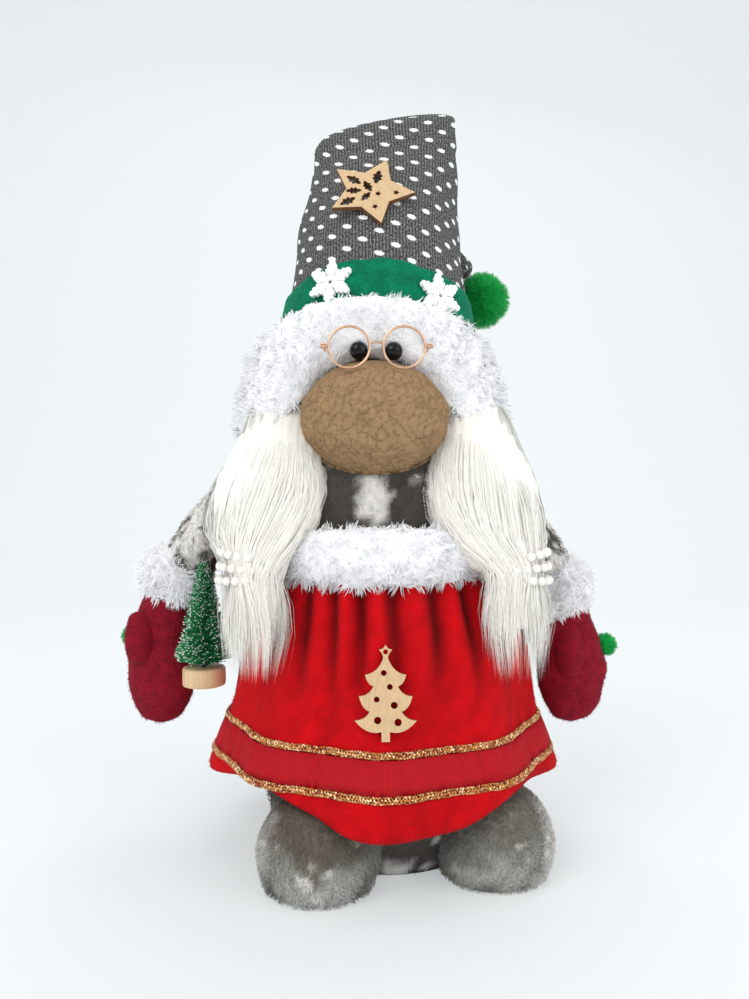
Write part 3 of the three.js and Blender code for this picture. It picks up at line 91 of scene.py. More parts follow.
def bump_at(angle, middle, width):
    """1 at the middle, and 0 away from it: a bell curve of the distance over the width."""
    return np.exp(-((angle - middle) / width) ** 2)


def rotated(points, angle):
    """Flat points turned anticlockwise about their origin."""
    c, s = np.cos(angle), np.sin(angle)
    return points @ np.array([[c, s], [-s, c]])


def through(pairs):
    """A smooth curve through pairs of height and value: a cubic in each span, with slopes from the
    neighbouring pairs."""
    heights, values = np.array(pairs, float).T
    last = len(heights) - 1
    before = np.maximum(np.arange(last + 1) - 1, 0)
    after = np.minimum(np.arange(last + 1) + 1, last)
    slopes = (values[after] - values[before]) / (heights[after] - heights[before])

    def at(height):
        k = np.clip(np.searchsorted(heights, height, side="right") - 1, 0, last - 1)
        span = heights[k + 1] - heights[k]
        t = np.clip((height - heights[k]) / span, 0, 1)
        rise = t * t * (3 - 2 * t)
        pull = slopes[k] * t * (1 - t) ** 2 - slopes[k + 1] * t * t * (1 - t)
        return mix(values[k], values[k + 1], rise) + span * pull

    return at


def glide(rows, t):
    """A smooth path through rows of numbers: each span blends its four nearest rows with cubic
    weights. t runs from 0 at the first row to 1 at the last."""
    rows = np.asarray(rows, float)
    last = len(rows) - 1
    s = np.clip(t, 0, 1) * last
    k = np.minimum(s.astype(int), last - 1)
    f = (s - k)[..., None]
    p0, p1 = rows[np.maximum(k - 1, 0)], rows[k]
    p2, p3 = rows[k + 1], rows[np.minimum(k + 2, last)]
    return 0.5 * (
        2 * p1 + (p2 - p0) * f + (2 * p0 - 5 * p1 + 4 * p2 - p3) * f**2
        + (3 * p1 - p0 - 3 * p2 + p3) * f**3
    )


def ripples(points, length, seed, octaves=3):
    """Smooth noise from about -1 to 1: a mean of sine waves in random directions, where each
    octave is half as long and half as strong as the one before."""
    rng = np.random.default_rng(seed)
    total = np.zeros(points.shape[:-1])
    for k in range(octaves):
        ways = unit(rng.normal(size=(8, 3)))
        start = rng.uniform(0, 2 * PI, 8)
        waves = np.sin(points @ ways.T * (2 * PI / length * 2**k) + start)
        total += waves.mean(-1) * 2.2 * 0.5**k
    return total


def box_of(node):
    """The low and the high corner of a solid's box, in millimetres."""
    return (np.array(corner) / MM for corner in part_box(node))


# Meshes
finishes = {}


def put(elements, key, values, kind=np.float32):
    """Sets one value of every element from an array."""
    elements.foreach_set(key, values.astype(kind).ravel())


def new_piece(name, points, faces, finish, uv=None, tint=None, facing=None):
    """A mesh object at the origin from points in millimetres and arrays of faces, each array with
    its own number of corners. uv holds one pair per corner, in the order of the faces."""
    mesh = bpy.data.meshes.new(name)
    corners = np.concatenate([f.ravel() for f in faces])
    counts = np.concatenate([np.full(len(f), f.shape[1]) for f in faces])
    mesh.vertices.add(len(points))
    put(mesh.vertices, "co", points * MM)
    mesh.loops.add(len(corners))
    put(mesh.loops, "vertex_index", corners, np.int32)
    mesh.polygons.add(len(counts))
    put(mesh.polygons, "loop_start", np.cumsum(counts) - counts, np.int32)
    mesh.materials.append(finishes[finish])
    if uv is not None:
        put(mesh.uv_layers.new(name="cloth").data, "uv", uv)
    if tint is not None:
        colours = np.concatenate([tint, np.ones((len(tint), 1))], 1)
        put(mesh.attributes.new("tint", "FLOAT_COLOR", "POINT").data, "color", colours)
    if facing is not None:
        layer = mesh.attributes.new("custom_normal", "FLOAT_VECTOR", "POINT")
        put(layer.data, "vector", facing)
    mesh.update(calc_edges=True)
    mesh.shade_smooth()
    piece = bpy.data.objects.new(name, mesh)
    bpy.context.scene.collection.objects.link(piece)
    return piece


def grid_cells(around, along, close_along=False):
    """The four corners of each cell of a grid that is closed round its first direction."""
    i, j = np.meshgrid(np.arange(around), np.arange(along - (not close_along)), indexing="ij")
    right, up = (i + 1) % around, (j + 1) % along
    cells = [i * along + j, right * along + j, right * along + up, i * along + up]
    return np.stack(cells, -1).reshape(-1, 4)


def cell_uv(uv, close_along=False):
    """Each cell corner's own place in a grid of uv pairs that has one more column than the mesh."""
    if close_along:
        uv = np.concatenate([uv, uv[:, :1]], 1)
    a, b, c, d = uv[:-1, :-1], uv[1:, :-1], uv[1:, 1:], uv[:-1, 1:]
    return np.stack([a, b, c, d], 2).reshape(-1, 2)


def ring_piece(name, grid, finish, uv=None, tint=None):
    """A closed ring: the grid is closed both ways."""
    around, along, _ = grid.shape
    return new_piece(
        name, grid.reshape(-1, 3), [grid_cells(around, along, True)], finish,
        uv=None if uv is None else cell_uv(uv, True),
        tint=None if tint is None else tint.reshape(-1, 3))


def ball_mesh(grid):
    """The points and faces of a ball whose first and last rows are one point each: the rows
    between, and then those two points."""
    around, along, _ = grid.shape
    rows = along - 2
    points = np.concatenate([grid[:, 1:-1].reshape(-1, 3), grid[:1, 0], grid[:1, -1]])
    i = np.arange(around)
    right = (i + 1) % around
    low = np.stack([0 * i + len(points) - 2, right * rows, i * rows], 1)
    high = np.stack([0 * i + len(points) - 1, (i + 1) * rows - 1, (right + 1) * rows - 1], 1)
    return points, [grid_cells(around, rows), low, high]


def ball_piece(name, grid, finish, uv=None, tint=None):
    """A closed ball: the grid is closed round, and its first and last rows are one point each."""
    points, faces = ball_mesh(grid)
    if uv is not None:
        below = np.stack([uv[:-1, 0], uv[1:, 1], uv[:-1, 1]], 1).reshape(-1, 2)
        above = np.stack([uv[:-1, -1], uv[:-1, -2], uv[1:, -2]], 1).reshape(-1, 2)
        uv = np.concatenate([cell_uv(uv[:, 1:-1]), below, above])
    if tint is not None:
        tint = np.concatenate([tint[:, 1:-1].reshape(-1, 3), tint[:1, 0], tint[:1, -1]])
    return new_piece(name, points, faces, finish, uv=uv, tint=tint)


def repeated(faces, points, count):
    """The faces of several copies of a mesh with the given number of points."""
    first = (np.arange(count) * points)[:, None, None]
    return [(first + part).reshape(-1, part.shape[1]) for part in faces]


def turns(count):
    """Angles once round, without the last."""
    return 2 * PI * np.arange(count) / count


def upright(angle, radius, height, middle):
    """Points round an upright axis through the middle, with the angle counted from the front."""
    across = middle + radius * np.sin(angle)
    return np.stack(np.broadcast_arrays(across, -radius * np.cos(angle), height), -1)


def lathe(profile, around):
    """A profile of radius and height, turned about its own axis."""
    radius, height = profile
    angle = turns(around)[:, None]
    return np.stack(np.broadcast_arrays(radius * np.cos(angle), radius * np.sin(angle), height), -1)


def frontal(rows):
    """Stations of a limb whose depth points to the front."""
    return np.concatenate([rows, np.tile([0.0, -1.0, 0.0], (len(rows), 1))], 1)


def limb(stations, around=64, along=60, taper=0.12):
    """A stuffed limb: rounded sections along a path. Each station is a point, a half width, a half
    depth and the direction of the depth. The ends round off over the taper's share of the path."""
    t = (1 - np.cos(PI * np.linspace(0, 1, along))) / 2
    rows = glide(stations, t)
    centre, wide, deep, facing = rows[:, :3], rows[:, 3:4], rows[:, 4:5], rows[:, 5:]
    tangent = unit(np.gradient(centre, axis=0))
    side = unit(np.cross(tangent, facing))
    out = unit(np.cross(side, tangent))
    end = np.minimum(np.minimum(t, 1 - t) / taper, 1)[:, None]
    fill = np.sqrt(np.maximum(0, 1 - (1 - end) ** 2))
    angle = turns(around)[:, None, None]
    return centre + side * wide * fill * np.cos(angle) - out * deep * fill * np.sin(angle)


def ellipsoid(middle, halves, around=64, along=34):
    """Half sizes times the sine and cosine of the polar angle and the turn."""
    polar = np.linspace(0, PI, along)[None, :]
    angle = turns(around)[:, None]
    shape = np.stack(np.broadcast_arrays(
        np.sin(polar) * np.cos(angle), np.sin(polar) * np.sin(angle), -np.cos(polar)), -1)
    return np.asarray(middle, float) + shape * np.asarray(halves, float)


def ellipsoid_share(points, middle, halves):
    """The squares of a place's offsets over the half sizes, summed: below 1 inside the
    ellipsoid."""
    return (((points - middle) / halves) ** 2).sum(-1)


def normals_of(grid, close_along=False):
    """Outward normals of a grid: the cross product of its two directions at each point."""
    round_ = np.roll(grid, -1, 0) - np.roll(grid, 1, 0)
    if close_along:
        rise = np.roll(grid, -1, 1) - np.roll(grid, 1, 1)
    else:
        rise = np.gradient(grid, axis=1)
        round_[:, 0] = round_[:, 1]
        round_[:, -1] = round_[:, -2]
    return unit(np.cross(round_, rise))


def swell(grid, depth, close_along=False):
    """The grid moved along its normals by the given depth at each point."""
    return grid + normals_of(grid, close_along) * depth[..., None]


# Strands: fur, pile, wool and bristles
def places(grid, count, rng, close_along=False, weight=None):
    """Random places spread evenly by area: a cell is picked by its area, and the place lies
    anywhere between its corners. Gives points and normals."""
    wide = np.concatenate([grid, grid[:1]])
    if close_along:
        wide = np.concatenate([wide, wide[:, :1]], 1)
    a, b, c, d = wide[:-1, :-1], wide[1:, :-1], wide[1:, 1:], wide[:-1, 1:]
    facing = np.cross(c - a, d - b)
    area = np.linalg.norm(facing, axis=-1)
    if weight is not None:
        area = area * weight((a + c) / 2)
    chance = area.ravel() / area.sum()
    cell = rng.choice(len(chance), count, p=chance)
    i, j = np.unravel_index(cell, area.shape)
    s, t = rng.random((2, count, 1))
    root = mix(mix(a[i, j], b[i, j], s), mix(d[i, j], c[i, j], s), t)
    return root, unit(facing[i, j])


def hair_paths(root, way, length, rng, lay=(0, 0, -1), bend=0.3, points=4, sink=0.6,
               clumps=0, pull=0.5):
    """Curved strands: each leaves its root along its way and bends towards the lay with the square
    of its length. Strands are pulled towards the nearest of a few leaders, more at their tips."""
    t = np.linspace(0, 1, points)[None, :, None]
    size = np.asarray(length)[:, None, None]
    lay = np.broadcast_to(np.asarray(lay, float), root.shape)
    path = (root - way * sink)[:, None] + size * (way[:, None] * t + lay[:, None] * bend * t**2)
    if clumps:
        leader = rng.choice(len(root), clumps, replace=False)
        apart = (root**2).sum(1)[:, None] - 2 * root @ root[leader].T + (root[leader] ** 2).sum(1)
        nearest = leader[apart.argmin(1)]
        path = mix(path, path[nearest] + (path - path[nearest]) * 0.25, pull * t**1.3)
    return path


def strand_piece(name, paths, radius, finish, tint, facing, own, sides=3):
    """One mesh of tapered strands: a small ring at each path point but the last, a closed root and
    a single point at the tip. tint is one colour per path point. facing is the way in which the
    cloth faces under each strand: the strands are shaded with it plus a share of their own way."""
    count, points, _ = paths.shape
    tangent = unit(np.gradient(paths, axis=1))
    rng = np.random.default_rng(count)
    side = unit(np.cross(tangent, unit(rng.normal(size=(count, 1, 3)))))
    over = np.cross(tangent, side)
    angle = turns(sides)[:, None]
    radius = np.broadcast_to(np.asarray(radius, float), (count, points))[:, :-1, None, None]
    spokes = np.cos(angle) * side[:, :-1, None] + np.sin(angle) * over[:, :-1, None]
    rings = (paths[:, :-1, None] + radius * spokes).reshape(count, -1, 3)
    corners = np.concatenate([rings, paths[:, -1:]], 1)
    each = (points - 1) * sides + 1
    k, s = np.meshgrid(np.arange(points - 2), np.arange(sides), indexing="ij")
    a, b = k * sides + s, k * sides + (s + 1) % sides
    quads = np.stack([a, b, b + sides, a + sides], -1).reshape(-1, 4)
    s = np.arange(sides)
    top = (points - 2) * sides
    tips = np.stack([top + s, top + (s + 1) % sides, np.full(sides, each - 1)], 1)
    faces = repeated((quads, tips, s[::-1][None]), each, count)
    ring_tint = np.repeat(tint[:, :-1], sides, 1)
    colours = np.concatenate([ring_tint, tint[:, -1:]], 1).reshape(-1, 3)
    if facing.ndim == 2:
        facing = np.repeat(facing[:, None], points, 1)
    shading = (facing[:, :-1, None] + own * spokes).reshape(count, -1, 3)
    shading = unit(np.concatenate([shading, facing[:, -1:]], 1).reshape(-1, 3))
    return new_piece(name, corners.reshape(-1, 3), faces, finish, tint=colours, facing=shading)


def shaded(colour, count, points, rng, root=0.7, spread=0.08):
    """One colour per path point: darker at the root, as painted shade among the strands, and a
    little lighter or darker per strand.
    """
    base = np.asarray(colour, float)[..., :3]
    own = 1 + rng.normal(size=(count, 1, 1)) * spread
    # Painted shade: each strand darkens from its tip down to the root's share at its root.
    along = np.linspace(root, 1, points)[None, :, None]
    if base.ndim == 1:
        base = np.broadcast_to(base, (count, 3))
    return np.clip(base[:, None] * own * along, 0, 1)


def tube(path, radius, sides=8, closed=False):
    """Rings round a path of points, as a grid whose first direction runs round the tube."""
    path = np.asarray(path, float)
    if closed:
        tangent = unit(np.roll(path, -1, 0) - np.roll(path, 1, 0))
    else:
        tangent = unit(np.gradient(path, axis=0))
    upward = abs(tangent[:, 2]).max() >= 0.9
    side = unit(np.cross(tangent, [0.0, 1.0, 0.0] if upward else [0.0, 0.0, 1.0]))
    over = np.cross(side, tangent)
    angle = turns(sides)[:, None, None]
    return path + radius * (np.cos(angle) * side - np.sin(angle) * over)


def capped(grid):
    """The grid with a point added at each end, in the middle of its end ring."""
    low = np.broadcast_to(grid[:, :1].mean(0, keepdims=True), grid[:, :1].shape)
    high = np.broadcast_to(grid[:, -1:].mean(0, keepdims=True), grid[:, -1:].shape)
    return np.concatenate([low, grid, high], 1)


def merged(name, parts, finish):
    """One mesh from several ball grids or ring grids, each given with its kind."""
    pieces = [kind(f"{name}_{k}", grid, finish) for k, (kind, grid) in enumerate(parts)]
    with bpy.context.temp_override(active_object=pieces[0], object=pieces[0],
                                   selected_objects=pieces, selected_editable_objects=pieces):
        bpy.ops.object.join()
    pieces[0].name = name
    pieces[0].data.name = name
    return pieces[0]


# Sizes and colours that a user would change
def length_setting(label, text, value):
    return FloatProperty(name=label, description=text, default=value * MM, min=0,
                         unit="LENGTH", precision=4)


def count_setting(label, text, value):
    return IntProperty(name=label, description=text, default=value, min=10)


def colour_setting(label, text, code):
    return FloatVectorProperty(name=label, description=text, default=paint(code), size=4,
                               subtype="COLOR", min=0, max=1)


class GnomeFurSettings(bpy.types.PropertyGroup):
    """Lengths and counts of the fur, pile and wool."""

    brim_length: length_setting("Brim Fur", "Length of the fur on the hat's brim", 6.4)
    brim_count: count_setting("Brim Strands", "Strands of fur on the hat's brim", 11800)
    waist_length: length_setting("Waist Fur", "Length of the fur round the waist", 5.6)
    waist_count: count_setting("Waist Strands", "Strands of fur round the waist", 8300)
    cuff_length: length_setting("Cuff Fur", "Length of the fur on each cuff", 5.2)
    cuff_count: count_setting("Cuff Strands", "Strands of fur on each cuff", 4300)
    plush_length: length_setting("Plush Pile", "Length of the pile on body, arms and feet", 3.4)
    fuzz_length: length_setting("Fuzz", "Length of the fuzz on fleece and felt", 1.3)
    pompom_count: count_setting("Pompom Strands", "Strands on the hat's pompom", 4400)
    wool_count: count_setting("Wool Strands", "Strands in each bunch of hair", 2900)
    bristle_count: count_setting("Bristles", "Bristles on the brush tree", 3400)


class GnomeColourSettings(bpy.types.PropertyGroup):
    """Colours of the fabrics, wires, beads and wood."""

    plush_grey: colour_setting("Plush Grey", "Dark patches of the plush", "#524e48")
    plush_mid: colour_setting("Plush Silver", "Ground of the feet's plush", "#86857d")
    plush_pale: colour_setting("Plush Pale", "Pale patches of the plush", "#eeeae4")
    plush_brown: colour_setting("Plush Brown", "Brownish patches on the feet", "#6b6053")
    skirt_red: colour_setting("Skirt Red", "Fleece of the skirt", "#be040f")
    ribbon_red: colour_setting("Ribbon Red", "Ribbed ribbon round the skirt", "#cc1d28")
    gold: colour_setting("Gold", "Metal thread along the ribbon", "#c07c34")
    fur_white: colour_setting("Fur White", "Fur of the brim, waist and cuffs", "#fafafc")
    felt_green: colour_setting("Felt Green", "Felt band and lining of the hat", "#027a57")
    knit_grey: colour_setting("Knit Grey", "Dark yarn of the hat's knit", "#1e1e1d")
    knit_pale: colour_setting("Knit Silver", "Pale yarn of the hat's knit", "#959592")
    knit_dot: colour_setting("Knit Dots", "Dots of the hat's knit", "#f0f0f0")
    nose_tan: colour_setting("Nose Tan", "Fleece of the nose", "#9a7c5b")
    wool_cream: colour_setting("Wool Cream", "Wool of the hair", "#f4f1e8")
    copper: colour_setting("Copper", "Wire of the glasses", "#e9bd9c")
    pearl: colour_setting("Pearl", "Pearls round the hair", "#f4f0e8")
    ply: colour_setting("Plywood", "Face of the wooden star and fir", "#cfae84")
    ply_edge: colour_setting("Plywood Edge", "Darkened edges of the wooden pieces", "#6a4426")
    turned_wood: colour_setting("Turned Wood", "Foot of the brush tree", "#d9b890")
    bristle_green: colour_setting("Bristle Green", "Bristles of the brush tree", "#0d8a4a")
    pompom_green: colour_setting("Pompom Green", "Pompoms of the hat and mittens", "#12b850")
    mitten_red: colour_setting("Mitten Red", "Felt of the mittens", "#931529")
    floor: colour_setting("Floor", "Floor and backdrop", "#f1f4f5")


# Shader node groups, each built once and used with its own values
OVAL_HALF_WIDTH, OVAL_HALF_HEIGHT = 2.75, 1.55
RIB_PITCH = 1.75


def place_node(tree, kind, **settings):
    """A new shader node with its settings."""
    node = tree.nodes.new(f"ShaderNode{kind}")
    for key, value in settings.items():
        setattr(node, key, value)
    return node


def feed(socket, value):
    """Links or sets an input: the value is a Number, a socket or a plain value."""
    value = getattr(value, "socket", value)
    if isinstance(value, bpy.types.NodeSocket):
        socket.id_data.links.new(value, socket)
    else:
        socket.default_value = value


class Number:
    """A number in a node tree: its sums, products and functions are Math nodes."""

    def __init__(self, socket):
        self.socket = socket

    def math(self, operation, *others):
        node = place_node(self.socket.id_data, "Math", operation=operation)
        for socket, value in zip(node.inputs, (self, *others)):
            feed(socket, value)
        return Number(node.outputs[0])

    def __add__(self, other):
        return self.math("ADD", other)

    def __sub__(self, other):
        return self.math("SUBTRACT", other)

    def __mul__(self, other):
        return self.math("MULTIPLY", other)

    def __truediv__(self, other):
        return self.math("DIVIDE", other)

    def clamped(self):
        """The same number, held between 0 and 1."""
        self.socket.node.use_clamp = True
        return self


def blended(share, first, second):
    """A mix of two colours by a share."""
    node = place_node(share.socket.id_data, "Mix", data_type="RGBA")
    for k, value in ((0, share), (6, first), (7, second)):
        feed(node.inputs[k], value)
    return node.outputs[2]


def texture(tree, kind, **given):
    """A texture node with its inputs."""
    node = place_node(tree, f"Tex{kind}")
    for label, value in given.items():
        feed(node.inputs[label], value)
    return node


def noise(tree, place, scale, detail, rough=0.5):
    """A noise texture's value."""
    node = texture(tree, "Noise", Vector=place, Scale=scale, Detail=detail, Roughness=rough)
    return Number(node.outputs["Fac"])


def stretched(place, scale):
    """A place whose three numbers are multiplied by the scale."""
    node = place_node(place.id_data, "Mapping")
    feed(node.inputs["Vector"], place)
    feed(node.inputs["Scale"], scale)
    return node.outputs[0]


def object_place(tree):
    """The place in the object's own coordinates."""
    return tree.nodes.new("ShaderNodeTexCoord").outputs["Object"]


def cloth_place(tree):
    """The place in the cloth's own millimetres."""
    return place_node(tree, "UVMap", uv_map="cloth").outputs[0]


def parted(vector):
    """The three numbers of a vector or colour."""
    node = place_node(vector.id_data, "SeparateXYZ")
    feed(node.inputs[0], vector)
    return [Number(socket) for socket in node.outputs]


def pattern(name, colours, sizes, build):
    """A node group with named colours and sizes. build gets the tree and its inputs, and gives a
    colour and a height."""
    tree = bpy.data.node_groups.new(name, "ShaderNodeTree")
    for kind, given in (("Color", colours), ("Float", sizes)):
        for label, value in given.items():
            made = tree.interface.new_socket(label, in_out="INPUT", socket_type=f"NodeSocket{kind}")
            made.default_value = value
    for label, kind in (("Color", "Color"), ("Height", "Float")):
        tree.interface.new_socket(label, in_out="OUTPUT", socket_type=f"NodeSocket{kind}")
    given, result = tree.nodes.new("NodeGroupInput"), tree.nodes.new("NodeGroupOutput")
    for socket, value in zip(result.inputs, build(tree, given.outputs)):
        feed(socket, value)
    return tree


def mottled(tree, given):
    """Two sizes of noise: a broad one that mixes two colours, and a fine one for the height."""
    spot = object_place(tree)
    broad = noise(tree, spot, given["Patch Size"], 4.0, 0.6)
    fine = noise(tree, spot, given["Fine Size"], 3.0, 0.6)
    share = ((broad + fine - 1.0) * given["Amount"] + 0.5).clamped()
    return blended(share, given["Ground"], given["Patch"]), fine


def knitted(tree, given):
    """White ovals on a staggered, slightly slanting lattice over two yarns of heather, all in the
    cloth's own millimetres. The distance from the nearest lattice point gives the ovals, noise that
    is stretched along the ribs mixes the yarns, and a sine across them darkens their sides as
    painted shade in the grooves between the ribs."""
    spot = cloth_place(tree)
    across, up, _ = parted(spot)
    row = (up + across * given["Slant"]) / given["Row"]
    odd = row.math("FLOOR").math("ABSOLUTE").math("MODULO", 2.0)
    column = across / given["Pitch"] + odd * 0.5
    off_row, off_column = (
        ((place.math("FRACT") - 0.5) * given[size] / half).math("POWER", 2.0)
        for place, size, half in ((row, "Row", OVAL_HALF_HEIGHT),
                                  (column, "Pitch", OVAL_HALF_WIDTH)))
    ragged = noise(tree, spot, 1.6, 2.0) * 1.4 + 0.35
    mask = ((ragged - (off_row + off_column)) * 2.4).clamped()
    heather = noise(tree, stretched(spot, (1.9, 0.75, 1)), 1.0, 3.0, 0.75)
    rib = (across / given["Rib"] * PI).math("SINE").math("ABSOLUTE")
    # Painted shade: the pale yarn shows on the rib crests and fades to the dark ground in the
    # grooves between them.
    light = (((heather - 0.42) * 4.5).clamped() * (rib + 0.25)).clamped()
    ground = blended(light, given["Ground"], given["Yarn"])
    return blended(mask, ground, given["Dot"]), rib + heather


def woven(tree, given):
    """Fine ribs across a ribbon, from the sine of the cloth's own distance along it."""
    spot = cloth_place(tree)
    wave = (parted(spot)[0] / given["Rib"] * (2 * PI)).math("SINE") * 0.5 + 0.5
    share = (wave * noise(tree, spot, 0.22, 4.0) + 0.25).clamped()
    return blended(share, given["Shade"], given["Ground"]), wave


def glittering(tree, given):
    """Small cells with random values: painted shade between the threads, plain thread or a painted
    glint, and a random height.
    """
    cells = texture(tree, "Voronoi", Vector=object_place(tree), Scale=given["Size"])
    first, second, third = parted(cells.outputs["Color"])
    # Dark cells are painted shade, and bright cells are painted glints.
    shade_share = ((first - 0.55) * 6.0).clamped()
    glint_share = ((second - 0.72) * 8.0).clamped()
    plain = blended(shade_share, given["Thread"], given["Shade"])
    return blended(glint_share, plain, given["Glint"]), third


def grained(tree, given):
    """Wood grain: noise that is stretched along the piece's height mixes two browns."""
    fibre = noise(tree, stretched(object_place(tree), (900, 900, 90)), 1.0, 4.0, 0.65)
    share = ((fibre - 0.4) * given["Amount"]).clamped()
    return blended(share, given["Ground"], given["Line"]), fibre


groups = {}


def new_finish(name, **shader):
    """A material with a Principled shader whose values are set on its own sockets."""
    made = finishes[name] = bpy.data.materials.new(name)
    made.use_nodes = True
    surface = made.node_tree.nodes["Principled BSDF"]
    for label, value in shader.items():
        surface.inputs[label.replace("_", " ")].default_value = value
    return made.node_tree, surface


def raise_bumps(surface, height, strength, depth):
    """Bumps on a shader, up to a depth in millimetres."""
    raised = place_node(surface.id_data, "Bump")
    for label, value in (("Strength", strength), ("Distance", depth * MM), ("Height", height)):
        feed(raised.inputs[label], value)
    feed(surface.inputs["Normal"], raised.outputs[0])


def tint_surface(surface, value, part):
    """The shader's colour is the mesh's own tint, varied by part of a noise's value about 1."""
    shade = place_node(surface.id_data, "VectorMath", operation="SCALE")
    tint = place_node(surface.id_data, "Attribute", attribute_name="tint")
    feed(shade.inputs[0], tint.outputs["Color"])
    feed(shade.inputs["Scale"], value * part + (1 - part / 2))
    feed(surface.inputs["Base Color"], shade.outputs[0])


def mixed_output(surface, share, other):
    """Mixes another shader over the surface by a share."""
    tree = surface.id_data
    both = tree.nodes.new("ShaderNodeMixShader")
    for socket, value in zip(both.inputs, (share, surface.outputs[0], other.outputs[0])):
        feed(socket, value)
    feed(tree.nodes["Material Output"].inputs[0], both.outputs[0])


def light_path(tree, kind):
    """1 for rays of the given kind, and 0 for others."""
    return Number(place_node(tree, "LightPath").outputs[f"Is {kind} Ray"])


def patterned_finish(name, group, values, bump, depth, **shader):
    """A material whose colour and height come from a node group with its own values."""
    tree, surface = new_finish(name, **shader)
    node = tree.nodes.new("ShaderNodeGroup")
    node.node_tree = groups[group]
    for label, value in values.items():
        node.inputs[label.replace("_", " ")].default_value = value
    feed(surface.inputs["Base Color"], node.outputs["Color"])
    raise_bumps(surface, node.outputs["Height"], bump, depth)


def strand_finish(name, roughness=0.85, sheen=0.35, passed=0.35):
    """Strands take their colour from their own tint, with a fine lengthwise variation, and let a
    share of the light pass, as thin pale fibres do."""
    tree, surface = new_finish(name, Roughness=roughness, Specular_IOR_Level=0.2,
                               Sheen_Weight=sheen, Sheen_Roughness=0.6)
    tint_surface(surface, noise(tree, object_place(tree), 700.0, 2.0), 0.3)
    mixed_output(surface, light_path(tree, "Shadow") * passed,
                 tree.nodes.new("ShaderNodeBsdfTransparent"))


def tinted_finish(name, size=1500.0, bump=0.8, depth=0.5):
    """A cloth that takes its colour from its own tint, times a fine noise that also raises it."""
    tree, surface = new_finish(name, Roughness=0.95, Specular_IOR_Level=0.15)
    fine = noise(tree, object_place(tree), size, 3.0)
    tint_surface(surface, fine, 0.6)
    raise_bumps(surface, fine, bump, depth)


def darker(colour, share):
    """The colour times a share, with its alpha kept."""
    return (*[c * share for c in colour[:3]], 1.0)


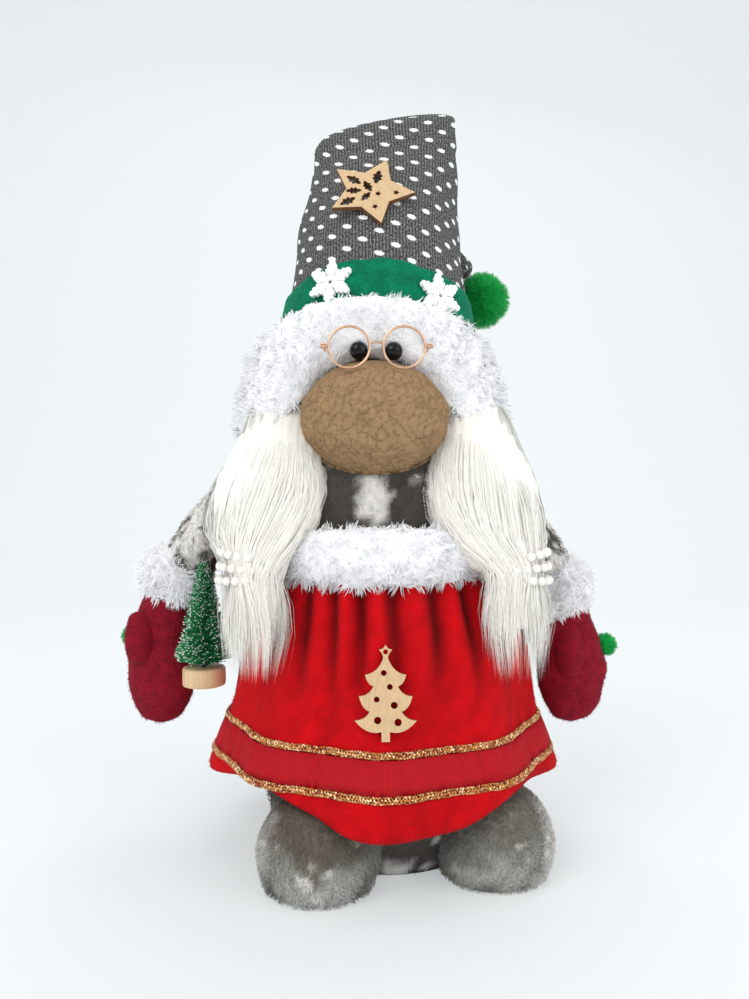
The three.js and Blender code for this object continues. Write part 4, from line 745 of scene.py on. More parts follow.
def make_finishes():
    """All materials, from the scene's colour settings."""
    pick = bpy.context.scene.gnome_colours
    brown = (0.6, 0.4, 0.2, 1)
    groups.update(
        mottle=pattern("Mottled Cloth", {"Ground": (0.5, 0.5, 0.5, 1), "Patch": (0.6, 0.6, 0.6, 1)},
                       {"Patch Size": 90.0, "Fine Size": 900.0, "Amount": 0.5}, mottled),
        dots=pattern("Knitted Dots", {"Ground": (0.1, 0.1, 0.1, 1), "Yarn": (0.4, 0.4, 0.4, 1),
                                      "Dot": (0.9, 0.9, 0.9, 1)},
                     {"Pitch": 17.0, "Row": 6.55, "Slant": 0.21, "Rib": RIB_PITCH}, knitted),
        weave=pattern("Ribbed Weave", {"Ground": (0.4, 0, 0, 1), "Shade": (0.2, 0, 0, 1)},
                      {"Rib": 0.9}, woven),
        grain=pattern("Wood Grain", {"Ground": brown, "Line": (0.3, 0.2, 0.1, 1)},
                      {"Amount": 0.5}, grained),
        glitter=pattern("Glitter", {"Thread": brown, "Shade": (0.1, 0.03, 0.01, 1),
                                    "Glint": (1, 0.85, 0.6, 1)}, {"Size": 1300.0}, glittering))
    felt = {"Roughness": 0.92, "Specular_IOR_Level": 0.15}
    wire = {"Metallic": 1.0}
    # Each row: name, two colours, patch size, fine size, amount, bump, depth, shader values
    for name, ground, patch, *values, shader in (
            ("plush_base", darker(pick.plush_grey, 0.75), pick.plush_grey, 60, 1400, 0.8, 0.9, 0.6,
             felt),
            ("fur_skin", darker(pick.fur_white, 0.94), pick.fur_white, 120, 600, 0.9, 1.0, 1.2,
             felt),
            ("mitten_felt", darker(pick.mitten_red, 0.6), pick.mitten_red, 160, 900, 2.6, 1.0, 0.7,
             felt),
            ("green_felt", darker(pick.felt_green, 0.6), pick.felt_green, 120, 1000, 3.0, 0.8, 0.5,
             felt),
            ("wool_core", darker(pick.wool_cream, 0.93), pick.wool_cream, 200, 900, 0.8, 0.5, 0.3,
             felt),
            # The pompom's core is painted darker than its strands: painted shade inside the pompom.
            ("pompom_core", darker(pick.pompom_green, 0.55), darker(pick.pompom_green, 0.8), 200,
             900, 0.8, 1.0, 0.8, felt),
            ("resin", darker(pick.fur_white, 0.94), pick.fur_white, 90, 1600, 0.8, 0.35, 0.15,
             {**felt, "Roughness": 0.5}),
            ("board", paint("#8a6c4a"), paint("#a98d6a"), 200, 1500, 1.0, 0.4, 0.2, felt),
            ("copper_wire", pick.copper, darker(pick.copper, 0.8), 300, 2500, 0.5, 0.1, 0.02,
             {**wire, "Roughness": 0.24}),
            ("twisted_wire", paint("#8f9290"), paint("#5d6663"), 700, 2500, 0.9, 0.3, 0.05,
             {**wire, "Roughness": 0.35}),
            ("black_bead", paint("#070708"), paint("#101012"), 300, 2500, 0.4, 0.02, 0.01,
             {"Roughness": 0.12, "Specular_IOR_Level": 0.25}),
            ("pearl_bead", pick.pearl, darker(pick.pearl, 0.85), 260, 1500, 0.7, 0.02, 0.01,
             {"Roughness": 0.22, "Coat_Weight": 0.5, "Coat_Roughness": 0.12})):
        patch_size, fine_size, amount, bump, depth = values
        patterned_finish(name, "mottle", {
            "Ground": ground, "Patch": patch, "Patch Size": patch_size, "Fine Size": fine_size,
            "Amount": amount}, bump, depth, **shader)
    # Each row: name, ground, how dark its lines are, their amount, bump, depth, roughness
    for name, ground, line, amount, bump, depth, rough in (
            ("ply_face", pick.ply, 0.62, 1.6, 0.25, 0.1, 0.68),
            ("ply_edge", pick.ply_edge, 0.4, 2.4, 0.3, 0.15, 0.75),
            ("turned_wood", pick.turned_wood, 0.7, 1.6, 0.2, 0.1, 0.55)):
        patterned_finish(name, "grain", {"Ground": ground, "Line": darker(ground, line),
                                         "Amount": amount}, bump, depth, Roughness=rough)
    patterned_finish("gold_thread", "glitter", {
        "Thread": pick.gold, "Shade": paint("#7a1a12"), "Glint": paint("#ffdca8")}, 1.0, 0.5,
        Roughness=0.4, Metallic=0.3)
    patterned_finish("knit", "dots", {
        "Ground": pick.knit_grey, "Yarn": pick.knit_pale, "Dot": pick.knit_dot}, 0.7, 0.45,
        Roughness=0.95, Specular_IOR_Level=0.1)
    patterned_finish("ribbon", "weave", {
        "Ground": pick.ribbon_red, "Shade": darker(pick.ribbon_red, 0.5)}, 0.8, 0.35,
        Roughness=0.85, Specular_IOR_Level=0.12)
    tinted_finish("plush")
    tinted_finish("fleece", 1300.0, 0.9, 0.45)
    tinted_finish("nose_fleece", 900.0, 1.0, 0.7)
    strand_finish("fur_strand", sheen=0.3, passed=0.85)
    strand_finish("pile_strand", sheen=0.1)
    strand_finish("wool_strand", roughness=0.9, sheen=0.3, passed=0.93)
    strand_finish("bristle_strand", roughness=0.4, sheen=0.0)


def settle(piece, body, *solids, slot=None, fill=None):
    """Puts a finished piece on its body and lets it stand for its solids, which are hidden. The
    slot is not used.
    """
    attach(piece, body)
    if solids:
        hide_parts(*solids)
    return piece


# The gnome's outlines, as its solids have them
SHOULDER = 196
DOME_FOOT, DOME_RISE = 284, 22
body_curve = through([(0, 57), (23.2, 66), (58, 69), (152, 60), (SHOULDER, 58), (224, 51),
                      (250, 46.5), (DOME_FOOT, 41)])


def lean(height):
    """The upper body leans six millimetres to the left."""
    return -6 * ease(height, 110, SHOULDER)


def body_radius(height):
    """A smooth outline below the dome, and an ellipse above it."""
    over = np.clip((height - DOME_FOOT) / DOME_RISE, 0, 1)
    return body_curve(height) * np.sqrt(np.maximum(0, 1 - over**2))


def body_grid(around=96):
    """A turned shape: a radius at each height, closed by a flat foot and a dome."""
    heights = np.concatenate([[0, 0, 1.5], np.linspace(4, DOME_FOOT, 70),
                              DOME_FOOT + DOME_RISE * np.sin(np.linspace(0.12, PI / 2, 9))])
    radius = body_radius(heights)
    radius[0] = radius[-1] = 0
    radius[1] -= 1.5
    return upright(turns(around)[:, None], radius, heights, lean(heights))


def patchy(points, ground, colours, seed=5, size=34, level=0.45):
    """Plush colours: off-white patches with soft edges on a darker ground."""
    wave = ripples(points, size, seed) + 0.35 * ripples(points, size / 4, seed + 1)
    share = ease(wave, level - 0.1, level + 0.5)[..., None]
    return mix(rgb(ground), rgb(colours.plush_pale), share)


def chest_colours(points, colours):
    """Dark plush with pale patches, one of them under the nose."""
    base = patchy(points, colours.plush_grey, colours, level=0.6)
    ragged = 0.35 * ripples(points, 9, 14)
    spot = ((points[..., 0] + 7) / 7.5) ** 2 + ((points[..., 2] - 185) / 12) ** 2 + ragged
    front = (points[..., 1] < 0)[..., None]
    share = (1 - ease(spot, 0.6, 1.3))[..., None] * front
    return mix(base, rgb(colours.plush_pale), share)


def plush_pile(name, grid, count, body, seed, colours_at, weight=None, length=None, down=0.35):
    """Short pile that lies in swirls and a little downwards, coloured by where it stands."""
    fur = bpy.context.scene.gnome_fur
    rng = np.random.default_rng(seed)
    root, normal = places(grid, count, rng, weight=weight)
    swirl = np.stack([ripples(root, 30, seed + k, 2) for k in (1, 2, 3)], -1)
    way = unit(normal + 0.6 * swirl + rng.normal(size=root.shape) * 0.25 + (0, 0, -down))
    size = (length or fur.plush_length / MM) * rng.uniform(0.6, 1.1, count)
    paths = hair_paths(root, way, size, rng, bend=0.3, points=3, sink=0.3, clumps=count // 9,
                       pull=0.5)
    paths[..., 2] = np.maximum(paths[..., 2], 0.25)
    # Painted shade: the pile darkens towards its roots.
    tint = shaded(colours_at(root), count, 3, rng, root=0.72, spread=0.07)
    piece = strand_piece(name, paths, np.array([0.2, 0.17, 0.0]), "pile_strand", tint, normal, 0.55)
    return settle(piece, body, slot="plush_grey")


def fuzz_piece(name, body, slot, skin, rng, spread, length, tints, root, vary, own, thick=0.11,
               bend=0.3, sink=0.2, tangled=False):
    """Fine short strands that stand every way on a skin, given as points and normals. The length
    is a size with its least and greatest share. root is the share of the colour left at the
    roots, as painted shade."""
    roots, normal = skin
    way = unit(normal + rng.normal(size=roots.shape) * spread)
    size = length[0] * rng.uniform(*length[1:], len(roots))
    lay = unit(rng.normal(size=roots.shape)) if tangled else (0, 0, -1)
    paths = hair_paths(roots, way, size, rng, lay=lay, bend=bend, points=3, sink=sink)
    # Painted shade at the roots, by the root's share.
    tint = shaded(tints(roots), len(roots), 3, rng, root=root, spread=vary)
    piece = strand_piece(name, paths, np.array([thick, thick - 0.03, 0]), "pile_strand",
                         tint, normal, own)
    return settle(piece, body, slot=slot)


class GNOME_OT_body(bpy.types.Operator):
    """The plush body with its pile where it shows, and its base"""

    bl_idname = "gnome.body"
    bl_label = "Body"

    def execute(self, context):
        colours = context.scene.gnome_colours
        grid = body_grid()
        grid = swell(grid, 0.5 * ripples(grid, 60, 2) * (grid[..., 2] > 3))
        # The skin is painted a fifth darker than the pile's colours, as painted shade under the
        # pile.
        piece = ball_piece("plush_body", grid, "plush", tint=chest_colours(grid, colours) * 0.8)
        settle(piece, "gnome", "body_cover", "body_stuffing", "weight_bag", slot="plush_grey",
               fill=0.9)

        def shown(points):
            low = (points[..., 2] < 80) & (points[..., 2] > 2)
            high = (points[..., 2] > 164) & (points[..., 2] < 215)
            front = points[..., 1] < -20
            return low * 0.5 + high * (0.35 + 1.4 * front)

        plush_pile("plush_body_pile", grid, 7000, "gnome", 3,
                   lambda root: chest_colours(root, colours), weight=shown)
        for node, finish in (("base_panel", "plush_base"), ("base_board", "board")):
            nodes[node].data.materials.clear()
            nodes[node].data.materials.append(finishes[finish])
        return {"FINISHED"}


FOOT_LENGTH, FOOT_WIDTH, FOOT_HEIGHT = 62, 57, 43
SOLE = FOOT_HEIGHT * 0.42  # height of the widest section
SOLE_DEPTH = 14  # how far the ball would reach below the floor


def foot_grid(out, forward, toe_turn, around=72, along=48):
    """A stuffed shoe: a flattened ball with a higher toe, cut flat by the floor and turned."""
    turned = np.radians(toe_turn)
    step = np.linspace(0, 1, along)[None, :]
    angle = turns(around)[:, None]
    ring = np.sin(PI * step) ** 0.85
    ring[..., 0] = ring[..., -1] = 0
    across = FOOT_WIDTH / 2 * ring * np.sin(angle)
    toe = -FOOT_LENGTH / 2 * ring * np.cos(angle)
    instep = 1 + 0.1 * np.cos(angle)
    reach = np.where(step < 0.5, SOLE + SOLE_DEPTH, FOOT_HEIGHT - SOLE)
    z = np.maximum(SOLE - reach * np.cos(PI * step) + 0 * angle, 0)
    return np.stack([out + across * instep * np.cos(turned) - toe * np.sin(turned),
                     -forward + across * np.sin(turned) + toe * np.cos(turned), z], -1)


def outside_body(grid, gap=0.5):
    """Points that lie in the body are moved out to its skin."""
    middle = lean(grid[..., 2])
    away = np.hypot(grid[..., 0] - middle, grid[..., 1])
    need = body_radius(grid[..., 2]) + gap
    push = np.maximum(need / np.maximum(away, 1e-6), 1)
    moved = grid.copy()
    moved[..., 0] = middle + (grid[..., 0] - middle) * push
    moved[..., 1] = grid[..., 1] * push
    return moved


def foot_colours(points, colours, out, forward, side):
    """Silvery plush with a brownish instep, a paler toe and outer edge, and soft patches."""
    brown, pale = rgb(colours.plush_brown), rgb(colours.plush_pale)
    wave = 0.3 * ripples(points, 18, 8)
    base = patchy(points, colours.plush_mid, colours, seed=21, size=26, level=1.1)
    base = base * (1 + 0.14 * ripples(points, 22, 9))[..., None]
    top = ease(points[..., 2] + 20 * wave, 17, 33)[..., None]
    toe = ease(-(points[..., 1] + forward) + 16 * wave, 15, 29)
    toe = toe * (1 - ease(points[..., 2] + 16 * wave, 8, 24))
    edge = ease((points[..., 0] - out) * side + 9 * wave, 18, 28)
    spot = ((points - (out - 17 * side, -forward - 8, 30)) ** 2).sum(-1)
    light = np.maximum(0.55 * toe, (0.85 if side > 0 else 0.5) * edge)
    light = np.maximum(light, 0.8 * np.exp(-spot / 60) * (side > 0))
    return mix(mix(base, brown, (0.4 if side > 0 else 0.85) * top), pale, light[..., None])


class GNOME_OT_feet(bpy.types.Operator):
    """The two stuffed plush feet"""

    bl_idname = "gnome.feet"
    bl_label = "Feet"

    def execute(self, context):
        colours = context.scene.gnome_colours
        for side, name, out, forward, turn in (
                (-1, "left", -32, 60, -10), (1, "right", 52, 47, 22)):
            grid = outside_body(foot_grid(out, forward, turn))

            def tints(points):
                return foot_colours(points, colours, out, forward, side)

            def free(points):
                away = np.hypot(points[..., 0] - lean(points[..., 2]), points[..., 1])
                return (points[..., 2] > 0.8) & (away > body_radius(points[..., 2]) + 1.2)

            # The skin is painted darker than the pile's colours, as painted shade under the pile.
            piece = ball_piece(f"plush_foot_{name}", grid, "plush", tint=tints(grid) * 0.85)
            settle(piece, "gnome", f"foot_{name}", slot="plush_grey", fill=0.9)
            plush_pile(f"plush_foot_{name}_pile", grid, 8200, "gnome", 211 + out, tints,
                       weight=free, length=2.9, down=0.1)
        return {"FINISHED"}


# Skirt
SKIRT_TOP, HEM = 156, 40.5
RIBBON_MIDDLE = 60.2
HEM_FOLD = 4.2  # how far the hem's rounded edge turns in
skirt_curve = through([(36, 97), (70, 83.5), (108, 77.5), (SKIRT_TOP, 64.5)])


def skirt_radius(angle, height):
    """The flared outline plus gathers that fade downwards and waves that grow towards the hem."""
    fall = (SKIRT_TOP - height) / (SKIRT_TOP - HEM)
    gathers = 1.5 * np.maximum(0, 1 - fall * 1.5) * (1 + 2 * fall)
    waves = 2.5 * np.maximum(0, fall * 1.3 - 0.3)
    return skirt_curve(height) + gathers * np.cos(22 * angle) + waves * np.cos(9 * angle)


def hem_height(angle):
    """The hem dips four times round and a little more at the front, is drawn up on the left of the
    front, and hangs lower on its right."""
    turn = wrap(angle)
    return (HEM - 4.5 * np.cos(4 * angle) - 3 * np.maximum(0, np.cos(angle)) ** 12
            + 4.5 * bump_at(turn, -0.72, 0.33) + 2.5 * bump_at(np.abs(turn), 1.4, 0.25)
            - 4.5 * bump_at(turn, 0.4, 0.2))


def round_skirt(angle, radius, height):
    """A point round the skirt, whose hem is shifted a little to the left."""
    fall = np.maximum(0, (SKIRT_TOP - height) / (SKIRT_TOP - HEM))
    return upright(angle, radius, height, lean(height) - 1.8 * fall)


def skirt_folds(angle, height):
    """How far the gathers bulge out or in, and how much painted shade darkens each place: cosine
    folds that are deep under the waist and fade out lower down, over a few slack waves."""
    fall = np.clip((SKIRT_TOP - height) / 116, 0, 1)
    wander = 1.3 * np.sin(3 * angle + 1) + 0.7 * np.sin(7 * angle + 2)
    wave = 0.5 + 0.5 * np.cos(25 * angle + wander + 1.2 * np.sin(4 * angle) * fall)
    deep = 1 - ease(fall, 0.25, 0.7)
    slack = np.sin(10 * angle + wander + 2 * fall) * ease(fall, 0.1, 0.5)
    depth = 5.5 * deep * (wave**0.7 - 0.75) + 0.8 * slack
    # Painted shade in the fold creases and in the troughs of the slack waves.
    return depth, 1 - 0.72 * deep * (1 - wave) ** 2 - 0.08 * (1 - slack) * fall


class GNOME_OT_skirt(bpy.types.Operator):
    """The gathered fleece skirt with its ribbon and its two gold edges"""

    bl_idname = "gnome.skirt"
    bl_label = "Skirt"

    def execute(self, context):
        colours, fur = context.scene.gnome_colours, context.scene.gnome_fur
        angle = turns(420)[:, None]
        hem = hem_height(angle)
        # The outer side runs calm under the ribbon and rolls in at the hem
        outer_z = SKIRT_TOP + (hem + 0.8 - SKIRT_TOP) * np.linspace(0, 1, 46)[None, :]
        calm = np.exp(-((outer_z - RIBBON_MIDDLE) / 13) ** 4)
        depth, _ = skirt_folds(angle, outer_z)
        roll = np.clip((hem + 9 - outer_z) / 9, 0, 0.999)
        roll = HEM_FOLD * (1 - np.sqrt(1 - roll**2))
        outer_r = skirt_radius(angle, outer_z) + depth * (1 - calm) - roll
        outer = round_skirt(angle, outer_r, outer_z)
        low = round_skirt(angle, skirt_radius(angle, hem) - HEM_FOLD - 1.1, hem)
        # The inner side keeps clear of the body
        inner_z = hem + 0.9 + (SKIRT_TOP - hem) * np.linspace(0, 1, 14)[None, :] ** 1.1
        inner_z = np.minimum(inner_z, SKIRT_TOP)
        inward = 2.5 + 2.8 * ease(hem - inner_z, -14, 0) + 2.5 * ease(inner_z, 70, 100)
        inner_r = np.maximum(skirt_radius(angle, inner_z) - inward, body_radius(inner_z) + 0.6)
        grid = np.concatenate([outer, low, round_skirt(angle, inner_r, inner_z)], 1)[:, ::-1]

        def red_at(points):
            x, y, z = np.moveaxis(points, -1, 0)
            # Painted shade in the folds, varied by a little random tone.
            _, light = skirt_folds(np.arctan2(x - lean(z), -y), z)
            light = light * (1 + 0.1 * ripples(points, 12, 32))
            return rgb(colours.skirt_red) * light[..., None]

        piece = ring_piece("fleece_skirt", grid, "fleece", tint=red_at(grid))
        settle(piece, "gnome", "skirt", slot="fleece_red")
        rng = np.random.default_rng(31)
        skin = places(outer[:, ::-1], 9500, rng,
                      weight=lambda p: np.abs(p[..., 2] - RIBBON_MIDDLE) > 10)
        # The fuzz carries the same painted fold shade, and painted shade at its roots.
        fuzz_piece("fleece_skirt_fuzz", "gnome", "fleece_red", skin, rng, 0.7,
                   (fur.fuzz_length / MM, 0.5, 1.7), red_at, 0.85, 0.14, 0.6)
        self.ribbon()
        return {"FINISHED"}

    def ribbon(self):
        """The ribbon's section is a thin rounded band; the gold edges are zigzag cords."""
        around = 640
        angle = turns(around)[:, None]
        pucker = 0.5 * np.sin(31 * angle + 2 * np.sin(5 * angle)) + 0.3 * np.sin(53 * angle)
        section = [(-6.8, 0.25), (-6.8, 1.0), (-3.2, 1.3), (0, 1.35), (3.3, 1.3), (6.8, 1.0),
                   (6.8, 0.25), (0, 0.25)]
        z, off = np.array(section).T[:, None, :]
        z = RIBBON_MIDDLE + z
        radius = skirt_radius(angle, z) + off + np.where(off > 0.5, pucker, 0)
        length = np.linspace(0, 1, around + 1)[:, None] * 2 * PI * 87
        uv = np.stack(np.broadcast_arrays(length, z), -1)
        piece = ring_piece("ribbon_strip", round_skirt(angle, radius, z), "ribbon", uv=uv)
        settle(piece, "gnome", "ribbon_band", slot="ribbon_red")
        angle = turns(1050)
        for name, middle in (("upper", RIBBON_MIDDLE + 8.7), ("lower", RIBBON_MIDDLE - 8.7)):
            threads = []
            for start in (0, 2 * PI / 3, 4 * PI / 3):
                swing = 122 * angle + start
                z = middle + 1.35 * np.sin(swing) + 0.15 * np.sin(37 * angle)
                off = 0.95 + 0.4 * np.cos(2 * swing)
                path = round_skirt(angle, skirt_radius(angle, z) + off, z)
                threads.append((ring_piece, tube(path, 0.5, 5, closed=True)))
            piece = merged(f"gold_braid_{name}", threads, "gold_thread")
            settle(piece, "gnome", f"gold_edge_{name}", slot="gold_thread")


# Fur rolls
def roll_fur(name, grid, body, count, length, seed, solid, inset, keep=None, thick=0.3, ring=True):
    """A nubbly fur skin and short strands on it, which curl over in small tufts."""
    colours = bpy.context.scene.gnome_colours
    lumps = 0.8 * ripples(grid, 17, seed) + 0.4 * ripples(grid, 7, seed + 1)
    grid = swell(grid, lumps - inset, close_along=ring)
    skin = (ring_piece if ring else ball_piece)(f"{name}_skin", grid, "fur_skin")
    settle(skin, body, solid, slot="fur_white")
    rng = np.random.default_rng(seed)
    root, normal = places(grid, count, rng, close_along=ring, weight=keep)
    swirl = np.stack([ripples(root, 14, seed + k, 2) for k in (2, 3, 4)], -1)
    curl = np.stack([ripples(root, 9, seed + k, 2) for k in (5, 6, 7)], -1)
    way = unit(normal + 0.5 * swirl + rng.normal(size=root.shape) * 0.3)
    curl = unit(curl + rng.normal(size=root.shape) * 0.5 + (0, 0, -0.5))
    size = length * rng.uniform(0.6, 1.1, count)
    paths = hair_paths(root, way, size, rng, lay=curl, bend=0.5, points=4, sink=0.8,
                       clumps=count // 7, pull=0.6)
    # Painted shade: the fur darkens a little towards its roots.
    tint = shaded(colours.fur_white, count, 4, rng, root=0.9, spread=0.025)
    return paths, thick * np.array([1.0, 1.0, 0.8, 0.0]), tint, unit(normal + 0.2 * curl)


BRIM_SHIFT = -7.6  # the brim's middle, to the left of the frame's


def brim_grid(around=150, along=44):
    """The brim's roll: a tilted ellipse carried round the head, high and tucked in over the eyes,
    low, wide and flared at the sides and back, and pushed out over the hair on either side."""
    angle, step = turns(around)[:, None], turns(along)[None, :]
    front = np.maximum(0, np.cos(angle)) ** 3
    tilt = np.radians(mix(15.5, -28, front))
    out = 11.5 * np.cos(step)
    up = mix(31.5, 19.7, front) * np.sin(step)
    radius = mix(64, 55.5, front) + out * np.cos(tilt) - up * np.sin(tilt)
    height = mix(246.5, 269.7, front) + out * np.sin(tilt) + up * np.cos(tilt)
    over_hair = bump_at(np.abs(wrap(angle)), 0.88, 0.36) * ease(-height, -244, -226)
    radius = radius + 6 * over_hair * ease(np.cos(step), -0.9, -0.2)
    return upright(angle, radius, height - 8 * over_hair, BRIM_SHIFT)


def waist_grid(around=130, along=30):
    """The waist's roll: thick and tall at the front and back, thin under the arms."""
    angle, step = turns(around)[:, None], turns(along)[None, :]
    front = np.maximum(0, np.cos(angle)) ** 1.2
    back = np.maximum(0, -np.cos(angle)) ** 1.2
    thick = 5.5 + 6.5 * front + 3.5 * back
    tall = 12 + 5.5 * np.maximum(front, back)
    middle = SKIRT_TOP + 1.0
    radius = body_radius(middle) + thick * 0.62 + thick * np.cos(step)
    return upright(angle, radius, middle + tall * np.sin(step), lean(middle))


class GNOME_OT_brim(bpy.types.Operator):
    """The fur brim of the hat"""

    bl_idname = "gnome.brim"
    bl_label = "Fur Brim"

    def execute(self, context):
        fur = context.scene.gnome_fur

        def outward(points):
            away = np.hypot(points[..., 0] + 7, points[..., 1])
            return (away > 55) * 1.0 + 0.15

        paths, radius, tint, normal = roll_fur(
            "fur_brim", brim_grid(), "gnome", fur.brim_count, fur.brim_length / MM, 41, "hat_brim",
            4.6, keep=outward)
        tip = paths[:, -1]
        # Strands that would hang over the eyes or the wires are left out
        eyes = (np.abs(tip[:, 0] + 5.2) < 19) & (tip[:, 1] < -56) & (tip[:, 2] < 266)
        wires = (np.abs(np.abs(tip[:, 0] + 5.1) - 25.2) < 2.2) & (tip[:, 1] < -41) \
            & (np.abs(tip[:, 2] - 258) < 2.2)
        # The rest are shortened where they would rise over the band
        front = np.maximum(0, np.cos(np.arctan2(tip[:, 0] - BRIM_SHIFT, -tip[:, 1]))) ** 2
        room = 278.5 + 9 * front - paths[:, 0, 2]
        share = np.clip(room / np.maximum(tip[:, 2] - paths[:, 0, 2], 1e-6), 0, 1)
        share = np.where(tip[:, 2] > paths[:, 0, 2] + room, share, 1)
        share = share * (1 - 0.6 * ease(-room, -8, -2))
        paths = paths[:, :1] + (paths - paths[:, :1]) * share[:, None, None]
        keep = ~eyes & ~wires & (room > 0.5)
        piece = strand_piece("fur_brim", paths[keep], radius, "fur_strand", tint[keep],
                             normal[keep], 0.5)
        settle(piece, "gnome", slot="fur_white")
        return {"FINISHED"}


class GNOME_OT_waist(bpy.types.Operator):
    """The fur roll round the waist"""

    bl_idname = "gnome.waist"
    bl_label = "Waist Fur"

    def execute(self, context):
        fur = context.scene.gnome_fur
        paths, radius, tint, normal = roll_fur(
            "fur_waist", waist_grid(), "gnome", fur.waist_count, fur.waist_length / MM, 51,
            "waist_fur", 3.4,
            keep=lambda p: (np.hypot(p[..., 0] - lean(p[..., 2]), p[..., 1])
                            > body_radius(p[..., 2]) + 1.0) * 1.0)
        piece = strand_piece("fur_waist", paths, radius, "fur_strand", tint, normal, 0.5)
        settle(piece, "gnome", slot="fur_white")
        return {"FINISHED"}


# Nose, eyes and glasses
NOSE = np.array([lean(225.5), -50, 225.5])
NOSE_HALF = np.array([37, 30, 28.5])
EYE_RADIUS = 4.5
RIM_OUT, RIM_RADIUS, RIM_WIRE = 13, 9.8, 0.62
LOOP_RADIUS, LOOP_WIRE = 1.4, 0.42


def creases(points):
    """1 along winding lines, where smooth noise crosses zero, and 0 away from them."""
    return np.exp(-((ripples(points, 6.5, 61) / 0.27) ** 2))


class GNOME_OT_nose(bpy.types.Operator):
    """The stuffed fleece nose and its bead eyes"""

    bl_idname = "gnome.nose"
    bl_label = "Nose And Eyes"

    def execute(self, context):
        colours = context.scene.gnome_colours
        grid = outside_body(ellipsoid(NOSE, NOSE_HALF, 240, 140), 0.2)
        calm = ease(-grid[..., 2], -249, -240)
        grid = swell(grid, (0.5 * ripples(grid, 24, 60) - 0.7 * creases(grid)) * calm + 0.1)

        def tan_at(points):
            # Painted shade darkens the creases; the ripples vary the tone at random.
            light = 1.04 - 0.3 * creases(points) + 0.05 * ripples(points, 12, 65)
            return rgb(colours.nose_tan) * light[..., None]

        piece = ball_piece("fleece_nose", grid, "nose_fleece", tint=tan_at(grid))
        settle(piece, "gnome", "nose_cover", "nose_stuffing", slot="fleece_tan", fill=0.9)
        rng = np.random.default_rng(62)
        skin = places(grid, 5000, rng, weight=lambda p: (p[..., 1] < -45) & (p[..., 2] < 249.5))
        fuzz_piece("fleece_nose_fuzz", "gnome", "fleece_tan", skin, rng, 0.8, (1.1, 0.4, 1.2),
                   tan_at, 0.85, 0.1, 0.9, bend=0.6, sink=0.3, tangled=True)
        for name in ("left", "right"):
            low, high = box_of(f"eye_{name}")
            self.bead(name, (low + high) / 2 + (0, -0.4, 0.5))
        return {"FINISHED"}

    def bead(self, name, middle):
        """A turned bead: half a circle from the hole's upper rim to its lower rim, and back
        through the hole."""
        start = np.arcsin(0.8 / EYE_RADIUS)
        polar = np.linspace(start, PI - start, 26)
        radius = np.concatenate([EYE_RADIUS * np.sin(polar), [0.62, 0.62]])
        height = np.concatenate([-EYE_RADIUS * np.cos(polar), [4.2, -4.2]])
        piece = ring_piece(f"bead_eye_{name}", lathe((radius, height), 48) + middle, "black_bead")
        settle(piece, "gnome", f"eye_{name}", slot="bead_black")


class GNOME_OT_glasses(bpy.types.Operator):
    """The wire glasses: a frame of two rims and a bridge, and two temples"""

    bl_idname = "gnome.glasses"
    bl_label = "Glasses"

    def execute(self, context):
        low, high = box_of("glasses_frame")
        middle = np.array([(low[0] + high[0]) / 2, -71.5, 256.9])
        loop_out = RIM_OUT + RIM_RADIUS + 2.35
        temple_rise = 1.18
        turn, small = turns(72), turns(28)
        parts = []
        for side, name in ((-1, "left"), (1, "right")):
            hinge = middle + (side * loop_out, 0, 0)
            rim = np.stack([side * RIM_OUT + RIM_RADIUS * np.cos(turn), 0 * turn,
                            RIM_RADIUS * np.sin(turn)], -1)
            loop = np.stack([np.cos(small), np.sin(small), 0 * small], -1)
            upper = loop * 1.1 + hinge + (0, 0, temple_rise)
            bar = np.array([[0, y, temple_rise] for y in (1.1, 15, 30)]) + hinge
            parts.append((ring_piece, tube(rim + middle, RIM_WIRE, 10, closed=True)))
            parts.append((ring_piece, tube(loop * LOOP_RADIUS + hinge, LOOP_WIRE, 8, closed=True)))
            temple = merged(f"wire_temple_{name}", [
                (ball_piece, capped(tube(bar, 0.5, 10))),
                (ring_piece, tube(upper, LOOP_WIRE, 8, closed=True))], "copper_wire")
            settle(temple, "glasses", f"temple_{name}", slot="wire_copper")
        span = np.linspace(-1, 1, 17)
        bridge = np.stack([3.7 * span, 0 * span, 1.7 + 0.6 * np.cos(span * PI / 2)], -1)
        parts.append((ball_piece, capped(tube(bridge + middle, 0.52, 10))))
        frame_piece = merged("wire_frame", parts, "copper_wire")
        settle(frame_piece, "glasses", "glasses_frame", slot="wire_copper")
        return {"FINISHED"}


# Hat
CROWN_LOW, FOLD = 262, 393
FOLD_RISE = np.tan(np.radians(11))
crown_width = through([(CROWN_LOW, 55.5), (304, 48.5), (333, 45.5), (381, 40.5), (FOLD, 39.5)])
crown_depth = through([(CROWN_LOW, 54.5), (304, 47.5), (333, 41), (357, 32), (381, 18), (FOLD, 10)])
crown_sway = through([(CROWN_LOW, lean(250.0) + 1), (304, -3.6), (333, -3.6), (FOLD, 0.3)])


def crown_point(angle, height, off=0.0):
    """An ellipse at each height that narrows and flattens upwards and leans up to the right. The
    point lies off it by the given distance."""
    across = (crown_width(height) + off) * np.sin(angle)
    back = 6.4 * ease(height, CROWN_LOW, FOLD) - (crown_depth(height) + off) * np.cos(angle)
    rise = across * FOLD_RISE * ease(height, 323, FOLD)
    return np.stack([crown_sway(height) + across, back, height + rise], -1)


def band_point(angle, height, off):
    """A point on the felt band, which hangs ten millimetres lower at the sides and the back, and
    sits a little higher on the left."""
    lift = 2.4 * np.maximum(0, np.cos(angle + 0.35)) ** 3
    return crown_point(angle, height + lift - 10 * (1 - np.maximum(0, np.cos(angle)) ** 2), off)


